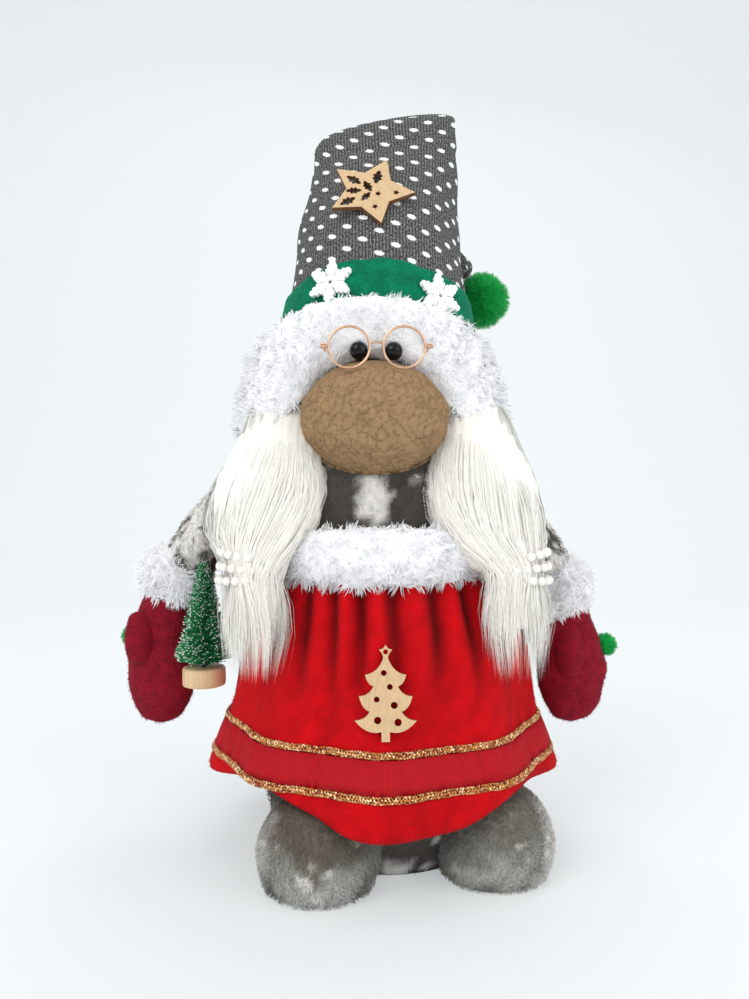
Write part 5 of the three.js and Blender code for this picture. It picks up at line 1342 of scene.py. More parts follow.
def arc_uv(grid):
    """Cloth coordinates in millimetres: the distance round each section from its first point's
    opposite side, and the distance along each line of the grid."""
    closed = np.concatenate([grid, grid[:1]])
    step = np.linalg.norm(np.diff(closed, axis=0), axis=-1)
    round_ = np.concatenate([np.zeros((1, grid.shape[1])), np.cumsum(step, 0)])
    rise = np.linalg.norm(np.diff(closed, axis=1), axis=-1)
    along = np.concatenate([np.zeros((len(closed), 1)), np.cumsum(rise[:, 1:], 1)], 1)
    along = np.concatenate([along[:, :1], along], 1)
    return np.stack([round_ - round_[-1] / 2, along], -1)


def ribbed(grid, uv):
    """Knit ribs: rounded ridges that follow the cloth's own distance round the piece."""
    wave = np.abs(np.sin(PI * uv[:-1, :, 0] / RIB_PITCH))
    return swell(grid, 0.26 * (wave - 0.5))


class GNOME_OT_hat(bpy.types.Operator):
    """The knitted crown and its folded tail, the felt band, the felt lining and the pompom"""

    bl_idname = "gnome.hat"
    bl_label = "Hat"

    def execute(self, context):
        self.crown()
        self.tail()
        self.felt()
        self.pompom(context)
        return {"FINISHED"}

    def crown(self):
        """The crown's ellipses, then flat sections that turn over backwards round the fold: each
        has a middle, a half width, a half depth and the way that the depth points."""
        angle = turns(600)[:, None] + PI
        heights = np.concatenate([[CROWN_LOW, CROWN_LOW], np.linspace(264, 376, 52)])
        lower = crown_point(angle, heights[None, :])
        fold = glide([
            (6.1, 378.0, 41.0, 19.6, -1, 0), (6.0, 388.0, 40.3, 14.0, -0.97, 0.24),
            (5.5, 394.0, 40.0, 9.0, -0.8, 0.6), (8.0, 396.5, 39.6, 6.5, 0, 1),
            (12.0, 395.0, 39.2, 5.5, 0.7, 0.7), (14.0, 390.0, 38.5, 5.0, 1, 0),
            (13.0, 385.0, 36.5, 3.0, 0.9, -0.4)], np.linspace(0.02, 1, 34))
        y, z, wide, deep, facing, up = fold.T[:, None, :]
        x = wide * np.sin(angle)
        deep = deep * np.cos(angle)
        upper = np.stack([0.3 + x, y + deep * facing, z + deep * up + x * FOLD_RISE], -1)
        grid = np.concatenate([lower, upper, upper[:, -1:]], 1)
        middle = grid.mean(0)
        grid[:, 0], grid[:, -1] = middle[0], middle[-1]
        # The fold's left end droops
        left = ease(0.3 - grid[..., 0], 33, 43)
        grid[..., 2] -= 3.2 * left * ease(grid[..., 2], 370, 390)
        # The cloth bulges less at the foot and along the fold
        calm = np.ones(grid.shape[1])
        calm[:3], calm[-22:] = 0, 0.25
        calm[-3:] = 0
        bulge = 1.2 * ripples(grid, 70, 71, 2) * ease(grid[..., 2], 300, 330)
        grid = swell(grid, bulge * calm)
        uv = arc_uv(grid)
        grid = ribbed(grid, uv)
        piece = ball_piece("knit_crown", grid, "knit", uv=uv)
        settle(piece, "gnome", "hat_crown", "hat_stuffing", slot="knit_grey", fill=0.5)

    def tail(self):
        """The tail starts inside the fold's roll, so that it can lift about the fold's line."""
        grid = limb([
            (0.3, 12.0, 393.0, 37.5, 3.8, 0, 0.5, 1),
            (5.0, 29.1, 374.4, 32.4, 6.0, 0.05, 1, 0.5),
            (19.1, 41.0, 352.3, 23.1, 6.6, 0.3, 1, 0.25),
            (36.8, 40.0, 334.0, 12.2, 6.0, 0.6, 0.9, 0.2),
            (52.5, 33.0, 324.0, 4.5, 4.5, 0.8, 0.8, 0.1)], around=300, along=60, taper=0.06)
        uv = arc_uv(grid)
        grid = ribbed(grid, uv)
        piece = ball_piece("knit_tail", grid, "knit", uv=uv)
        settle(piece, "hat_tail", "hat_tail", slot="knit_grey")

    def felt(self):
        """Thin bands with rounded edges: one round the crown, and one round the body that is pulled
        in behind the nose."""
        angle = turns(360)[:, None]
        edge = 0.35 * np.sin(9 * angle) + 0.25 * np.sin(23 * angle + 1)
        section = [(279.2, 0.7), (279.2, 1.9), (281, 2.3), (292, 2.45), (303, 2.3), (304.6, 1.9),
                   (304.6, 0.7), (292, 0.6)]
        z, off = np.array(section).T[:, None, :]
        grid = band_point(angle, z + 0 * angle, off + 0.35 * np.sin(13 * angle) * (off > 1))
        grid[..., 2] += edge
        piece = ring_piece("felt_band", grid, "green_felt")
        settle(piece, "gnome", "hat_band", slot="felt_green")
        drop = 0.6 * np.sin(7 * angle) + 0.3 * np.sin(19 * angle)
        section = [(228.4, 0.7), (228.4, 2.2), (239, 2.3), (249.6, 2.2), (249.6, 0.7)]
        z, off = np.array(section).T[:, None, :]
        grid = upright(angle, body_radius(z) + off, z + drop * (z < 240), lean(z))
        behind_nose = ellipsoid_share(grid, NOSE, NOSE_HALF + 0.6)
        grid = np.where((behind_nose < 1)[..., None], pulled_in(grid, 1.9), grid)
        piece = ring_piece("felt_lining", grid, "green_felt")
        settle(piece, "gnome", "hat_lining", slot="felt_green")

    def pompom(self, context):
        """The pompom on the tail's tip, at the size of its solid."""
        fur, colours = context.scene.gnome_fur, context.scene.gnome_colours
        low, high = box_of("hat_pompom")
        make_pompom("pompom_hat", (low + high) / 2, (high - low).mean() / 2, fur.pompom_count,
                    "pompom", "hat_pompom", 81, colours.pompom_green, 0.2)


def pulled_in(grid, depth):
    """Points moved towards the body's axis."""
    middle = np.stack([lean(grid[..., 2]), 0 * grid[..., 1], grid[..., 2]], -1)
    return grid - unit(grid - middle) * depth


def make_pompom(name, middle, radius, count, body, solid, seed, colour, thick):
    """A soft core and strands that leave it in every direction and end at an uneven ball."""
    rng = np.random.default_rng(seed)
    core = ellipsoid(middle, np.full(3, radius * 0.74), 40, 24)
    core = swell(core, radius * 0.05 * ripples(core, radius * 0.8, seed))
    piece = ball_piece(f"{name}_core", core, "pompom_core")
    settle(piece, body, solid, slot="pompom_green", fill=0.5)
    way = unit(rng.normal(size=(count, 3)))
    root = middle + way * radius * 0.66
    lumps = 1 + 0.07 * ripples(root, radius * 0.6, seed + 1)
    size = radius * 0.37 * lumps * rng.uniform(0.8, 1.12, count)
    tilt = unit(way + rng.normal(size=way.shape) * 0.28)
    paths = hair_paths(root, tilt, size, rng, bend=0.06, points=4, sink=0.2,
                       clumps=count // 9, pull=0.55)
    # Painted shade: the strands darken towards the core.
    tint = shaded(colour, count, 4, rng, root=0.6, spread=0.14)
    fluff = strand_piece(name, paths, thick * np.array([1, 1.15, 0.9, 0]),
                         "pile_strand", tint, way, 0.6)
    return settle(fluff, body, slot="pompom_green")


# Ornaments: flat outlines in their own plane, placed where their solids are
def star_outline(radius, waist, x=0.0, y=0.0):
    """Ten points by turns on an outer and an inner circle."""
    k = np.arange(10)
    reach = np.where(k % 2, radius * waist, radius)
    angle = PI / 2 + k * PI / 5
    return np.stack([x + reach * np.cos(angle), y + reach * np.sin(angle)], -1)


def leaf_outline(x, y, turn, length):
    """A leaf with a ragged edge: two bowed sides between its tips, notched by a zigzag."""
    t = np.linspace(0, 1, 9)
    bow = 0.24 * np.sin(PI * t) * (1 + 0.3 * (np.arange(9) % 2 * 2 - 1) * (t > 0.1) * (t < 0.9))
    upper = np.stack([t - 0.5, bow], -1)
    lower = np.stack([0.5 - t, -bow[::-1]], -1)[1:-1]
    points = np.concatenate([upper, lower]) * length
    return rotated(points, np.radians(turn)) + (x, y)


def circle_outline(x, y, radius, count=24):
    """Points once round a circle."""
    angle = turns(count)
    return np.stack([x + radius * np.cos(angle), y + radius * np.sin(angle)], -1)


def plate_piece(name, outlines, thickness, bevel, place, *plate_finishes):
    """A flat plate: filled outlines raised to a thickness, with small rounded edges. place turns
    the plate's own axes into the gnome's. Walls take the last finish."""
    curve = bpy.data.curves.new(name, "CURVE")
    curve.dimensions = "2D"
    curve.fill_mode = "BOTH"
    curve.extrude = (thickness / 2 - bevel) * MM
    curve.bevel_depth = bevel * MM
    curve.bevel_resolution = 1
    curve.offset = -bevel * MM
    for outline in outlines:
        spline = curve.splines.new("POLY")
        spline.points.add(len(outline) - 1)
        flat = np.tile([0.0, 0.0, 0.0, 1.0], (len(outline), 1))
        flat[:, :2] = outline * MM
        put(spline.points, "co", flat)
        spline.use_cyclic_u = True
    shape = bpy.data.objects.new(name + "_outline", curve)
    bpy.context.scene.collection.objects.link(shape)
    bpy.context.view_layer.update()
    graph = bpy.context.evaluated_depsgraph_get()
    mesh = bpy.data.meshes.new_from_object(shape.evaluated_get(graph))
    bpy.data.objects.remove(shape)
    flat = np.empty(len(mesh.vertices) * 3, np.float32)
    mesh.vertices.foreach_get("co", flat)
    x, y, z = (flat.reshape(-1, 3) / MM).T[..., None]
    origin, across, up, out = place
    points = origin + x * across + y * up + (z + thickness / 2) * out
    put(mesh.vertices, "co", points * MM)
    mesh.name = name
    mesh.materials.clear()
    for finish in plate_finishes:
        mesh.materials.append(finishes[finish])
    mesh.update()
    facing = np.empty(len(mesh.polygons) * 3, np.float32)
    mesh.polygons.foreach_get("normal", facing)
    wall = np.abs(facing.reshape(-1, 3) @ out) < 0.9
    put(mesh.polygons, "material_index", wall * (len(plate_finishes) - 1), np.int32)
    put(mesh.polygons, "use_smooth", wall * 0, bool)
    piece = bpy.data.objects.new(name, mesh)
    bpy.context.scene.collection.objects.link(piece)
    weld = piece.modifiers.new("weld", "WELD")
    weld.merge_threshold = 0.00001
    return piece


def resting_plate(surface, level, reach, turn, gap=0.55):
    """The place of a plate laid on a slope: its lean comes from two points of the surface, and it
    is turned in its own plane."""
    above, below = surface(level + reach), surface(level - reach)
    tilt = np.arctan2(above[1] - below[1], above[2] - below[2])
    out = np.array([0, -np.cos(tilt), np.sin(tilt)])
    up = np.array([0, np.sin(tilt), np.cos(tilt)])
    across = np.array([1.0, 0, 0])
    c, s = np.cos(np.radians(turn)), np.sin(np.radians(turn))
    return surface(level) + gap * out, across * c + up * s, up * c - across * s, out


def fir_outline(h):
    """A fir with three boughs on each side and a small star on its tip: the right side's curves
    are mirrored for the left."""
    knots = [(0.045, 0), (0.045, 0.1), (0.2, 0.06), (0.33, 0.22), (0.22, 0.22), (0.17, 0.31),
             (0.25, 0.33), (0.285, 0.47), (0.18, 0.47), (0.13, 0.57), (0.19, 0.58), (0.22, 0.69),
             (0.08, 0.71), (0.028, 0.86)]
    knots = np.array(knots)
    t = np.linspace(0, 1, 7)[1:, None]
    curves = [a * (1 - t) ** 2 + 2 * b * t * (1 - t) + c * t**2
              for a, b, c in zip(knots[1::2], knots[2::2], knots[3::2])]
    right = np.concatenate([knots[:2], *curves])
    tip = star_outline(0.075, 0.6, 0.0, 0.93)[[7, 8, 9, 0, 1, 2, 3]]
    neck = np.array([(0.028, 0.885)])
    left = np.concatenate([right, neck])[::-1] * np.array([-1, 1])
    return (np.concatenate([right, neck, tip, left]) - (0, 0.5)) * h


def flake_outline(radius):
    """A six-armed flake: one arm with two pairs of stubby twigs and a round end, repeated each
    sixth of a turn."""
    arm = np.array([(0.27, -0.125), (0.47, -0.26), (0.59, -0.27), (0.61, -0.17), (0.71, -0.23),
                    (0.8, -0.19), (0.79, -0.12), (0.9, -0.14), (0.98, -0.09), (1.01, 0)])
    arm = np.concatenate([arm, arm[:-1][::-1] * np.array([1, -1])]) * radius
    return np.concatenate([rotated(arm, PI / 2 + k * PI / 3) for k in range(6)])


STAR_RADIUS, FIR_HEIGHT, FLAKE_RADIUS = 23.3, 43, 12.3


class GNOME_OT_ornaments(bpy.types.Operator):
    """The wooden star and fir and the two resin snowflakes"""

    bl_idname = "gnome.ornaments"
    bl_label = "Ornaments"

    def execute(self, context):
        def crown_front(level):
            height = np.array(float(level))
            angle = np.arcsin((-8.1 - crown_sway(height)) / crown_width(height))
            return crown_point(angle, height)

        def skirt_front(level):
            front, height = np.array(0.0), np.array(float(level))
            return round_skirt(front, skirt_radius(front, height), height)

        r = STAR_RADIUS
        leaves = [(-0.46, 0.14, 165, 0.4), (-0.34, -0.16, 205, 0.36), (0.0, 0.42, 100, 0.42),
                  (-0.1, 0.08, 140, 0.36), (-0.34, -0.5, 235, 0.4), (-0.02, -0.22, 75, 0.32)]
        star = [star_outline(r, 0.54)]
        star += [leaf_outline(x * r, y * r, turn, size * r) for x, y, turn, size in leaves]
        star += [star_outline(r * 0.085, 0.45, x * r, y * r)
                 for x, y in ((0.2, -0.04), (0.56, 0.14), (0.28, -0.42))]
        h = FIR_HEIGHT
        holes = [(0, 0.93, 0.026), (-0.02, 0.71, 0.03), (0.045, 0.565, 0.03), (-0.095, 0.435, 0.03),
                 (0.09, 0.375, 0.036), (-0.085, 0.22, 0.038), (0.13, 0.2, 0.038)]
        fir = [fir_outline(h)]
        fir += [circle_outline(x * h, (y - 0.5) * h, size * h) for x, y, size in holes]
        for name, outlines, place in (
                ("star", star, resting_plate(crown_front, 345, r * 0.3, -22)),
                ("fir", fir, resting_plate(skirt_front, 96.5, h * 0.25, 0))):
            piece = plate_piece(f"ply_{name}", outlines, 2.5, 0.12, place, "ply_face", "ply_edge")
            settle(piece, "gnome", f"wood_{name}", slot="plywood")
        for name, turn, level in (("left", -27, 294.0), ("right", 35, 291.0)):
            angle = np.array(np.radians(turn))
            above, below = band_point(angle, 304.5, 0), band_point(angle, 279.0, 0)
            fall = np.arctan2(np.hypot(*above[:2]) - np.hypot(*below[:2]), 25.5)
            c, s = np.cos(0.8 * angle), np.sin(0.8 * angle)
            side = np.array([c, s, 0])
            up = np.array([0, 0, np.cos(fall)]) + np.array([s, -c, 0]) * np.sin(fall)
            place = band_point(angle, level, 2.7), side, up, np.cross(side, up)
            outlines = [flake_outline(FLAKE_RADIUS), circle_outline(0, 0, 1.1, 12)]
            flake = plate_piece(f"resin_flake_{name}", outlines, 2.4, 0.5, place, "resin")
            settle(flake, "gnome", f"snowflake_{name}", slot="resin_white")
        return {"FINISHED"}


# Hair and pearls
def clear_of_clothes(points, gap):
    """Points moved out, away from the gnome's axis, until they clear the body and the skirt."""
    points = outside_body(points, gap)
    z = points[..., 2]
    x = points[..., 0] - lean(z)
    away = np.hypot(x, points[..., 1])
    angle = np.arctan2(x, -points[..., 1])
    need = np.where(z < 150, skirt_radius(angle, np.minimum(z, SKIRT_TOP)) + 1.0 + gap, 0)
    push = np.maximum(need / np.maximum(away, 1e-6), 1)
    return np.stack([lean(z) + x * push, points[..., 1] * push, z], -1)


HAIR_HINGE = np.array([-44.0, 230.0])  # y and z of the line about which the bunches swing


def clear_of_nose(points, gap):
    """Points moved away from the nose's middle until they clear it, at rest and as the bunch swings
    up: from the bunch, the nose's middle then turns back about the hinge."""
    halves = NOSE_HALF + np.array([0, 0, 1.5]) + gap
    for swing in np.radians((0, 7, 14, 20)):
        middle = np.array([NOSE[0], *(HAIR_HINGE + rotated(NOSE[1:] - HAIR_HINGE, swing))])
        inside = ellipsoid_share(points, middle, halves)
        push = np.where(inside < 1, 1 / np.sqrt(np.maximum(inside, 0.3)), 1)[..., None]
        points = middle + (points - middle) * push
    return points


def hair_stations(side):
    """Rows of a point, a half width and a half depth down the bunch."""
    full, tie = (-57, -66) if side < 0 else (47, 63)
    return np.array([
        (full - side * 4, -36, 233, 17, 5.5),
        (full - side * 3.5, -40, 222, 20.5, 9),
        (full - side * 3, -45, 211, 23.5, 12.5),
        (full, -49, 189.5, 30, 19),
        (full + side * 6, -54, 168, 25.2, 16.7),
        (tie, -62, 152, 10.5, 9.5),
        (tie - side * 1.5, -63, 138, 14.3, 10),
        (tie - side * 2.5, -66, 123, 16.3, 10.5),
        (tie - side * 2, -68, 100, 12, 7.1),
    ], float)


PEARL_RADIUS = 2.15


class GNOME_OT_hair(bpy.types.Operator):
    """The two bunches of wool, each with its string of pearls"""

    bl_idname = "gnome.hair"
    bl_label = "Hair"

    def execute(self, context):
        for side, name in ((-1, "left"), (1, "right")):
            self.bunch(context, side, name)
            self.pearls(side, name)
        return {"FINISHED"}

    def bunch(self, context, side, name):
        """Each strand keeps its own share of the bunch's section all the way down. Those on the
        front and inner side pass over the pearls, and the ends stop at different heights."""
        fur, colours = context.scene.gnome_fur, context.scene.gnome_colours
        rows = hair_stations(side)
        core_rows = frontal(rows * [1, 1, 1, 0.93, 0.91])[:-1]
        core_rows[-1, 3:5] *= 0.5
        core = clear_of_clothes(limb(core_rows, 80, 80, taper=0.05), 0.4)
        streak = np.sin(1.5 * core[..., 0] + 2 * np.sin(core[..., 2] / 23))
        core = swell(core, 0.35 * streak * ease(core[..., 2], 102, 116))
        piece = ball_piece(f"wool_{name}_core", core, "wool_core")
        settle(piece, f"hair_{name}", f"hair_{name}", slot="wool_white", fill=0.4)
        rng = np.random.default_rng(90 + side)
        count, points = fur.wool_count, 10
        # Each strand's place in the section, and the nearest of the strands that lead
        turn = rng.uniform(0, 2 * PI, (count, 1))
        reach = rng.uniform(0.3, 1.0, (count, 1)) ** 0.5
        place = np.concatenate([np.cos(turn) * reach, np.sin(turn) * reach], 1)
        leader = rng.choice(count, count // 45, replace=False)
        apart = ((place[:, None] - place[leader][None]) ** 2).sum(-1)
        nearest = leader[apart.argmin(1)]
        # How far down the bunch it begins and ends
        ends = 1.03 - 0.42 * rng.random(count) ** 1.2
        ends = (0.5 * ends + 0.5 * ends[nearest])[:, None]
        begin = rng.uniform(0, 0.1, (count, 1))
        t = begin + (ends - begin) * np.linspace(0, 1, points)
        middle = glide(rows, t)
        # A few stray outwards, and many bulge over the pearls
        stray = (rng.random((count, 1)) < 0.06) * rng.uniform(0.1, 0.6, (count, 1))
        over = ease(np.sin(turn) - 0.9 * side * np.cos(turn), 0.1, 0.9) \
            * (rng.random((count, 1)) < 0.8)
        bulge = 5.4 * over * np.exp(-((middle[..., 2] - 153) / 12) ** 2)
        spread = reach * (1 + stray * t**2 + 0.06 * np.sin(9 * t + 3 * turn))
        turned = turn + 0.1 * np.sin(2.6 * PI * t + 2 * turn)
        section = np.stack([spread * np.cos(turned), -spread * np.sin(turned)], -1)
        # Towards the ends they gather at their leaders
        gather = 0.65 * ease(t, 0.72, 1.0)[..., None]
        section = mix(section, section[nearest], gather)
        paths = middle[..., :3] + np.stack([
            middle[..., 3] * section[..., 0] + bulge * np.cos(turn),
            middle[..., 4] * section[..., 1] - bulge * np.sin(turn), 0 * t], -1)
        wisp = rng.normal(size=(count, 1, 3)) * ease(t, 0.6, 1.0)[..., None] * 1.5
        paths = clear_of_nose(clear_of_clothes(paths + wisp, 0.9), 1.2)
        facing = unit(np.stack([np.cos(turn), -1.3 * np.sin(turn), 0 * turn], -1)
                      + 0.1 * rng.normal(size=(count, 1, 3)))
        tint = shaded(colours.wool_cream, count, points, rng, root=0.98, spread=0.02)
        # Painted shadow under the brim: the strands darken towards their roots.
        tint = tint * mix(0.72, 1.0, ease(t, 0.02, 0.2))[..., None]
        radius = 0.34 * np.concatenate([np.full(points - 4, 1.0), [0.75, 0.5, 0.25, 0]])
        wool = strand_piece(f"wool_{name}", paths, radius, "wool_strand", tint,
                            np.broadcast_to(facing, paths.shape), 0.14)
        settle(wool, f"hair_{name}", slot="wool_white")

    def pearls(self, side, name):
        """Beads set side by side on an ellipse round the tie, and on two more halves that spread
        apart on its outer side."""
        *middle, wide, deep = hair_stations(side)[5]
        wide, deep = wide + 0.3 + 2.4, deep + 0.3 + 2.4
        beads = []
        for row in (-1, 0, 1):
            turn = 2 * PI * (np.arange(18) + 0.5 * row) / 18
            outer = 0.5 + 0.5 * side * np.cos(turn)
            kept = (outer > 0.5) | (row == 0)
            turn, outer = turn[kept], outer[kept]
            beads.append(np.stack([(wide + 1.6 * outer) * np.cos(turn), deep * np.sin(turn),
                                   row * (3.4 + 3.4 * outer)], -1))
        centres = np.concatenate(beads)
        centres[:, ::2] = rotated(centres[:, ::2], np.radians(4) * side)
        centres = centres + middle
        ball, faces = ball_mesh(ellipsoid((0, 0, 0), np.full(3, PEARL_RADIUS), 16, 11))
        points = (centres[:, None] + ball).reshape(-1, 3)
        faces = repeated(faces, len(ball), len(centres))
        piece = new_piece(f"pearls_{name}", points, faces, "pearl_bead")
        settle(piece, f"hair_{name}", f"pearl_tie_{name}", slot="bead_pearl")


# Arms: the side, the wrist's distance out, its height and the cuff's tilt
ARMS = {"left": (-1, 119, 140, 22), "right": (1, 98, 133, 36)}
SLEEVE_HALF = 16.5
PALM_OUT, PALM_HALF = 6.5, 18.8  # the palm's middle beyond the wrist, and its half width
FINGERTIPS = 61
MITTEN_POMPOM = 7.2


def sleeve_rows(side, out, level):
    """The sleeve bows up between the shoulder and the wrist."""
    root = np.array([side * 55 + lean(SHOULDER), 0, SHOULDER])
    wrist = np.array([side * out, 0, level])
    rows = []
    for share, wide in ((0, SLEEVE_HALF), (0.35, SLEEVE_HALF), (0.7, 15.5)):
        at = mix(root, wrist, share) + np.array([0, 0, 6.5 * np.sin(PI * share)])
        rows.append((*at, wide, SLEEVE_HALF))
    return frontal([*rows, (side * out + side, 0, level - 5, 12.5, 12.5)])


def mitten_rows(side, out, level):
    """The mitten widens from the wrist to the palm and rounds off at the fingers."""
    palm = side * (out + PALM_OUT)
    return frontal([
        (side * (out + 1), -1, level, 11.5, 11),
        (side * (out + 3.9), -1.5, level - 20, 15.8, 13.2),
        (palm, -2.5, (level + FINGERTIPS) / 2 - 4, PALM_HALF, 14),
        (palm, -3, FINGERTIPS + 16, 16.9, 12.3),
        (palm, -3, FINGERTIPS, 9.4, 7),
    ])


def thumb_rows(side, out, level):
    """The thumb lies on the palm's front."""
    x = side * (out + PALM_OUT) - (9.4 if side < 0 else 3.76)
    knuckle = level - 18
    return frontal([
        (x, -7, knuckle, 7, 7),
        (x, -13.3, knuckle - 13.5, 8.05, 7),
        (x, -13.3, knuckle - 27, 5.6, 4.9),
    ])


class GNOME_OT_arms(bpy.types.Operator):
    """The two arms: sleeve, fur cuff, felt mitten and its small pompom"""

    bl_idname = "gnome.arms"
    bl_label = "Arms"

    def execute(self, context):
        for name, (side, out, level, tilt) in ARMS.items():
            self.sleeve(context, name, side, out, level)
            self.cuff(context, name, side, out, level, tilt)
            self.mitten(context, name, side, out, level)
        return {"FINISHED"}

    def sleeve(self, context, name, side, out, level):
        """The sleeve's inner end is cut off flat, in the plane where its solid ends."""
        colours = context.scene.gnome_colours
        body = f"arm_{name}"
        grid = limb(sleeve_rows(side, out, level), 72, 60, taper=0.05)
        low, high = box_of(f"sleeve_{name}")
        plane, beyond = (high[0], np.minimum) if side < 0 else (low[0], np.maximum)
        grid[..., 0] = beyond(grid[..., 0], plane)
        wrinkle = 0.5 * ripples(grid, 14, 101, 2) * (np.abs(grid[..., 0] - plane) > 1)
        grid = swell(grid, wrinkle)

        def tints(points):
            return patchy(points, colours.plush_grey, colours, seed=33 + side, size=26, level=-0.1)

        # The skin is painted darker than the pile's colours, as painted shade under the pile.
        piece = ball_piece(f"plush_sleeve_{name}", grid, "plush", tint=tints(grid) * 0.85)
        settle(piece, body, f"sleeve_{name}", slot="plush_grey", fill=0.7)

        def free(points):
            outside = side * (points[..., 0] - plane) > 0.5
            return (outside & (points[..., 2] > level - 3)) * 1.0

        plush_pile(f"plush_sleeve_{name}_pile", grid, 4600, body, 103 + side, tints, weight=free)

    def cuff(self, context, name, side, out, level, tilt):
        """A fur ball that is tilted outwards over the wrist."""
        fur = context.scene.gnome_fur
        grid = ellipsoid((0, 0, 0), (22, 21.5, 19.5), 80, 44)
        grid[..., ::2] = rotated(grid[..., ::2], side * np.radians(tilt))
        grid = grid + (side * out, -1, level + 2)
        paths, thick, tint, normal = roll_fur(
            f"fur_cuff_{name}", grid, f"arm_{name}", fur.cuff_count, fur.cuff_length / MM,
            111 + side, f"cuff_{name}", 3.2, ring=False)
        piece = strand_piece(f"fur_cuff_{name}", paths, thick, "fur_strand", tint,
                             unit(normal + (0, -1.0, 0.9)), 0.35)
        settle(piece, f"arm_{name}", slot="fur_white")

    def mitten(self, context, name, side, out, level):
        """A hand with a seam beside the thumb, and a thumb, both with their nap, and the small
        pompom on the outer edge."""
        colours = context.scene.gnome_colours
        hand = limb(mitten_rows(side, out, level), 72, 60, taper=0.1)
        x, y, z = np.moveaxis(hand, -1, 0)
        palm = side * (out + PALM_OUT)
        seam = bump_at(x, palm - (11 if side < 0 else -2), 1.1) * (y < -2)
        seam = seam * ease(-z, 40 - level, 60 - level) * ease(z, 64, 72)
        hand = swell(hand, 0.5 * ripples(hand, 18, 121 + side, 2) - 0.9 * seam)
        thumb = limb(thumb_rows(side, out, level), 40, 30, taper=0.2)
        piece = merged(f"felt_mitten_{name}", [(ball_piece, hand), (ball_piece, thumb)],
                       "mitten_felt")
        settle(piece, f"arm_{name}", f"mitten_{name}", slot="felt_red", fill=0.8)
        rng = np.random.default_rng(131 + side)
        both = [places(part, count, rng) for part, count in ((hand, 4200), (thumb, 900))]

        def melange(roots):
            return mix(rgb(colours.mitten_red), rgb(paint("#3f0d18")),
                       rng.random((len(roots), 1)) ** 2 * 0.9)

        fuzz_piece(f"felt_mitten_{name}_fuzz", f"arm_{name}", "felt_red",
                   [np.concatenate(x) for x in zip(*both)], rng, 0.8, (1.5, 0.5, 1.3), melange,
                   0.8, 0.15, 0.5, thick=0.12)
        low, high = box_of(f"mitten_pompom_{name}")
        middle = (low + high) / 2
        middle[0] = side * (out + PALM_OUT + PALM_HALF + 1.36)
        make_pompom(f"pompom_mitten_{name}", middle, MITTEN_POMPOM, 800, f"arm_{name}",
                    f"mitten_pompom_{name}", 141 + side, colours.pompom_green, 0.17)


TREE_WIRE = 0.42


class GNOME_OT_tree(bpy.types.Operator):
    """The small brush tree on its turned foot"""

    bl_idname = "gnome.tree"
    bl_label = "Brush Tree"

    def execute(self, context):
        fur, colours = context.scene.gnome_fur, context.scene.gnome_colours
        low, high = box_of("tree_foot")
        middle = np.array([(low[0] + high[0]) / 2, (low[1] + high[1]) / 2, low[2]])
        profile = np.array([(0, 0), (10.2, 0), (11.2, 0.4), (11.5, 1.1), (11.55, 5), (11.45, 8.9),
                            (11.0, 9.7), (10.2, 10), (5, 10), (1.25, 10), (1.2, 9.5), (1.2, 4),
                            (0, 4)])
        foot = ball_piece("turned_foot", lathe(profile.T, 64) + middle, "turned_wood")
        settle(foot, "arm_left", "tree_foot", slot="turned_wood")
        # Two wires twisted round each other, and bristles that shorten upwards
        climb = np.linspace(4.3, 71, 160)
        strands = []
        for start in (0, PI):
            turn = climb * 1.9 + start
            path = np.stack([TREE_WIRE * np.cos(turn), TREE_WIRE * np.sin(turn), climb], -1)
            strands.append((ball_piece, capped(tube(path + middle, TREE_WIRE, 6))))
        wire = merged("brush_wire", strands, "twisted_wire")
        settle(wire, "arm_left", slot="bristle_green")
        rng = np.random.default_rng(151)
        count = fur.bristle_count
        up = rng.random(count) ** 1.25
        height = 10.6 + 56 * up
        turn = rng.uniform(0, 2 * PI, count)
        reach = mix(15.6, 2.6, up) * rng.uniform(0.76, 1.06, count)
        t = np.array([[0, 0.45, 0.87, 0.94, 1]])
        away = 0.4 + (reach[:, None] - 0.4) * t
        bend = turn[:, None] + rng.normal(size=(count, 1)) * 0.12 * t
        rise = reach[:, None] * (0.3 * t + 0.06 * rng.normal(size=(count, 1)) * t)
        paths = np.stack([away * np.cos(bend), away * np.sin(bend), height[:, None] + rise], -1)
        paths = paths + middle
        # Painted shade: the bristles darken towards the wire.
        green = shaded(colours.bristle_green, count, 5, rng, root=0.5, spread=0.2)
        frost = (np.arange(5)[None, :, None] > 2) * 0.95 * (rng.random((count, 1, 1)) < 0.38)
        tint = mix(green, np.array([0.86, 0.9, 0.88]), frost)
        facing = unit(np.stack([np.cos(turn), np.sin(turn), 0.4 + 0 * turn], -1))
        brush = strand_piece("brush_bristles", paths, np.array([0.13, 0.14, 0.16, 0.34, 0.0]),
                             "bristle_strand", tint, facing, 1.0)
        settle(brush, "arm_left", "tree_brush", slot="bristle_green")
        return {"FINISHED"}


